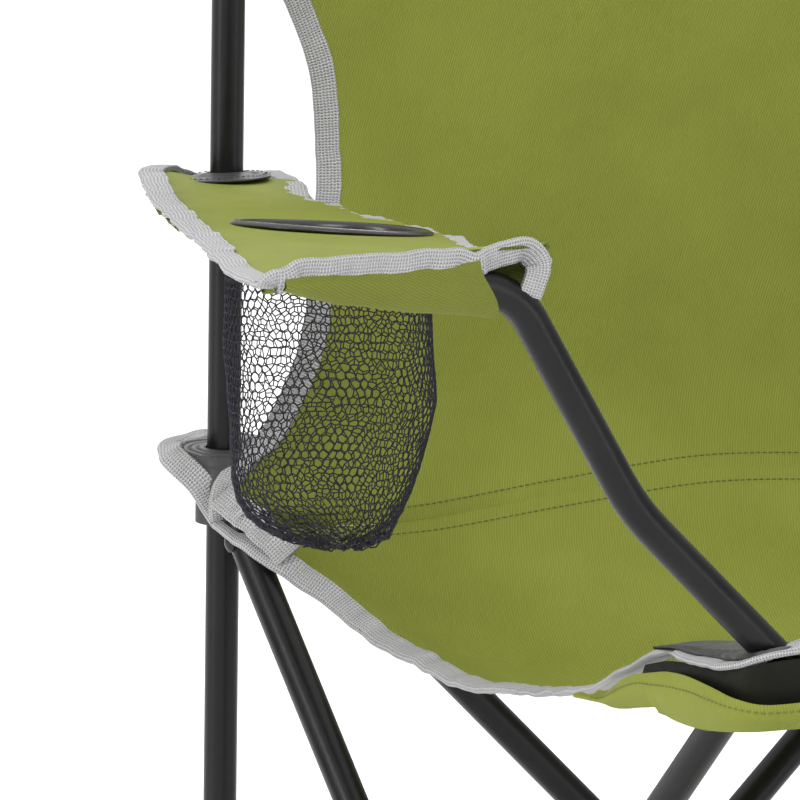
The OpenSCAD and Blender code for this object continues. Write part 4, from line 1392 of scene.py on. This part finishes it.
def post_pocket(s, tag, body):
    n, m = 64, 60
    zs = np.linspace(692, 824, m)
    a = np.linspace(0, 2 * math.pi, n, endpoint=False)
    grid = np.zeros((m + 8, n, 3))
    for i, z in enumerate(zs):
        r = (9.6 + 0.5 * noise1(np.array([z / 11.0]), 171)[0]
             + 0.5 * noise2(np.cos(a) * 2 + z / 15, np.sin(a) * 2, 173))
        r = r + 1.3 * math.exp(-(z - 692) / 8.0)
        grid[i] = np.stack([-HALF + np.cos(a) * r, HALF + np.sin(a) * r, np.full(n, z)], 1)
        grid[i, :, 0] += np.where(np.cos(a) > 0.75, 1.5 * (np.cos(a) - 0.75) * 4, 0)
    for k in range(8):
        t = (k + 1) / 8
        r = 9.6 * math.cos(t * 1.5)
        z = np.full(n, 824 + 2.6 * math.sin(t * 1.5))
        grid[m + k] = np.stack([-HALF + np.cos(a) * r, HALF + np.sin(a) * r, z], 1)
    if s > 0:
        grid = mirror_x(grid)[:, ::-1]
    g = np.concatenate([grid, grid[:, :1]], 1)
    uv = arc_uv(g)
    nn = grid_normals(g)
    axis = np.array([s * HALF, HALF, 0])
    ref = (g - axis) * [1, 1, 0.001]
    flip = np.sum(nn * ref) < 0
    if flip:
        nn = -nn
        v, f, w, n2 = shell(g[:, ::-1], uv[:, ::-1], CLOTH, normals=nn[:, ::-1])
    else:
        v, f, w, n2 = shell(g, uv, CLOTH, normals=nn)
    o = make("back_pocket_cloth_" + tag, v, f, GREEN, body, w, n2)
    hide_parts("back_pocket_" + tag)
    ring = np.stack([s * HALF + np.cos(a) * 10.9, HALF + np.sin(a) * 10.9, np.full(n, 691.0)], 1)
    up = np.stack([np.cos(a), np.sin(a), np.zeros(n)], 1)
    v, f, w = tape(ring, up, 9.0, 2.4, True, 175 + s, 0.3, inward=1)
    if (v[:, 2].mean()) < 691:
        v, f, w = tape(ring, up, 9.0, 2.4, True, 175 + s, 0.3, inward=-1)
    make("back_pocket_binding_" + tag, v, f, TAPE, body, w)


post_pocket(-1, "right", "frame_base")
post_pocket(1, "left", "post_left")

for i, row in enumerate((-5, -9)):
    q, k = BACK[row, 5:-5], BACK_N[row, 5:-5]
    v, f, w = stitches(q + k * CLOTH / 2, k, 3.3, 2.5, 0.34, 0.05)
    make(f"back_hem_stitches_{i}", v, f, THREAD_GREEN, "frame_base", w)


# ---------------------------------------------------------------- pieces on the seat, back and arms get their own copy of their mesh

for o in PIECES:
    body = o["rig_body"]
    if body in ("seat_rear", "seat_front"):
        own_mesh(o)
    elif body == "frame_base" and not o.name.startswith("back_pocket"):
        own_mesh(o)
    elif body in ("arm_right", "arm_left"):
        s = -1 if body == "arm_right" else 1
        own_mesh(o)


# ---------------------------------------------------------------- floor, light, camera

def floor():
    n = Nodes("floor")
    p = n.obj(1.0)
    cloud = n.noise(p, 1.2, 2.0, 0.5)
    col = n.ramp(cloud, [(0.3, (0.90, 0.90, 0.90)), (0.7, (0.93, 0.93, 0.93))])
    n.set(Base_Color=col, Roughness=0.8)
    k, half = 48, 30.0
    xs = np.linspace(-half, half, k)
    verts = [(x, y, 0.0) for y in xs for x in xs]
    faces = [(j * k + i, j * k + i + 1, (j + 1) * k + i + 1, (j + 1) * k + i)
             for j in range(k - 1) for i in range(k - 1)]
    me = bpy.data.meshes.new("floor")
    me.from_pydata(verts, [], faces)
    me.materials.append(n.mat)
    o = bpy.data.objects.new("floor", me)
    bpy.context.scene.collection.objects.link(o)


def area_light(name, place, target, size, power, size_y=None):
    d = bpy.data.lights.new(name, "AREA")
    d.energy = power
    d.size = size
    if size_y:
        d.shape = "RECTANGLE"
        d.size_y = size_y
    o = bpy.data.objects.new(name, d)
    o.location = place
    o.rotation_mode = "QUATERNION"
    o.rotation_quaternion = (Vector(target) - Vector(place)).to_track_quat("-Z", "Y")
    bpy.context.scene.collection.objects.link(o)


def camera():
    az, pit, roll = math.radians(29.011), math.radians(10.7805), math.radians(0.747)
    d = Vector((math.sin(az) * math.cos(pit), math.cos(az) * math.cos(pit), -math.sin(pit)))
    r = Vector((math.cos(az), -math.sin(az), 0))
    up = r.cross(d)
    r2 = r * math.cos(roll) + up * math.sin(roll)
    up2 = up * math.cos(roll) - r * math.sin(roll)
    data = bpy.data.cameras.new("camera")
    data.sensor_width = 36
    data.lens = 654.7
    data.clip_start, data.clip_end = 0.1, 200
    o = bpy.data.objects.new("camera", data)
    m = Matrix((r2, up2, -d)).transposed().to_4x4()
    m.translation = Vector((-3.28095, -5.41186, 1.70521))
    o.matrix_world = m
    bpy.context.scene.collection.objects.link(o)
    bpy.context.scene.camera = o


floor()
camera()
world = bpy.data.worlds.new("studio")
world.use_nodes = True
tree = world.node_tree
where = tree.nodes.new("ShaderNodeTexCoord")
axes = tree.nodes.new("ShaderNodeSeparateXYZ")
dome = tree.nodes.new("ShaderNodeValToRGB")
tree.links.new(where.outputs["Generated"], axes.inputs[0])
tree.links.new(axes.outputs[2], dome.inputs[0])
tree.links.new(dome.outputs[0], tree.nodes["Background"].inputs[0])
dome.color_ramp.elements[0].position = 0.05
dome.color_ramp.elements[0].color = rgba(0.20, 0.20, 0.20)
dome.color_ramp.elements[1].position = 0.85
dome.color_ramp.elements[1].color = rgba(1, 1, 1)
tree.nodes["Background"].inputs[1].default_value = 1.55
bpy.context.scene.world = world
area_light("key", (-1.7, -2.7, 2.9), (-0.1, 0, 0.5), 1.6, 50)
area_light("strip_left", (-2.9, 0.2, 1.3), (-0.2, 0, 0.5), 0.45, 34, 2.2)
area_light("strip_right", (1.5, -2.7, 1.2), (0, 0, 0.4), 0.3, 16, 2.2)
area_light("rim", (1.2, 2.4, 2.2), (0, 0, 0.6), 1.2, 26)
bpy.context.scene.view_settings.view_transform = "Standard"
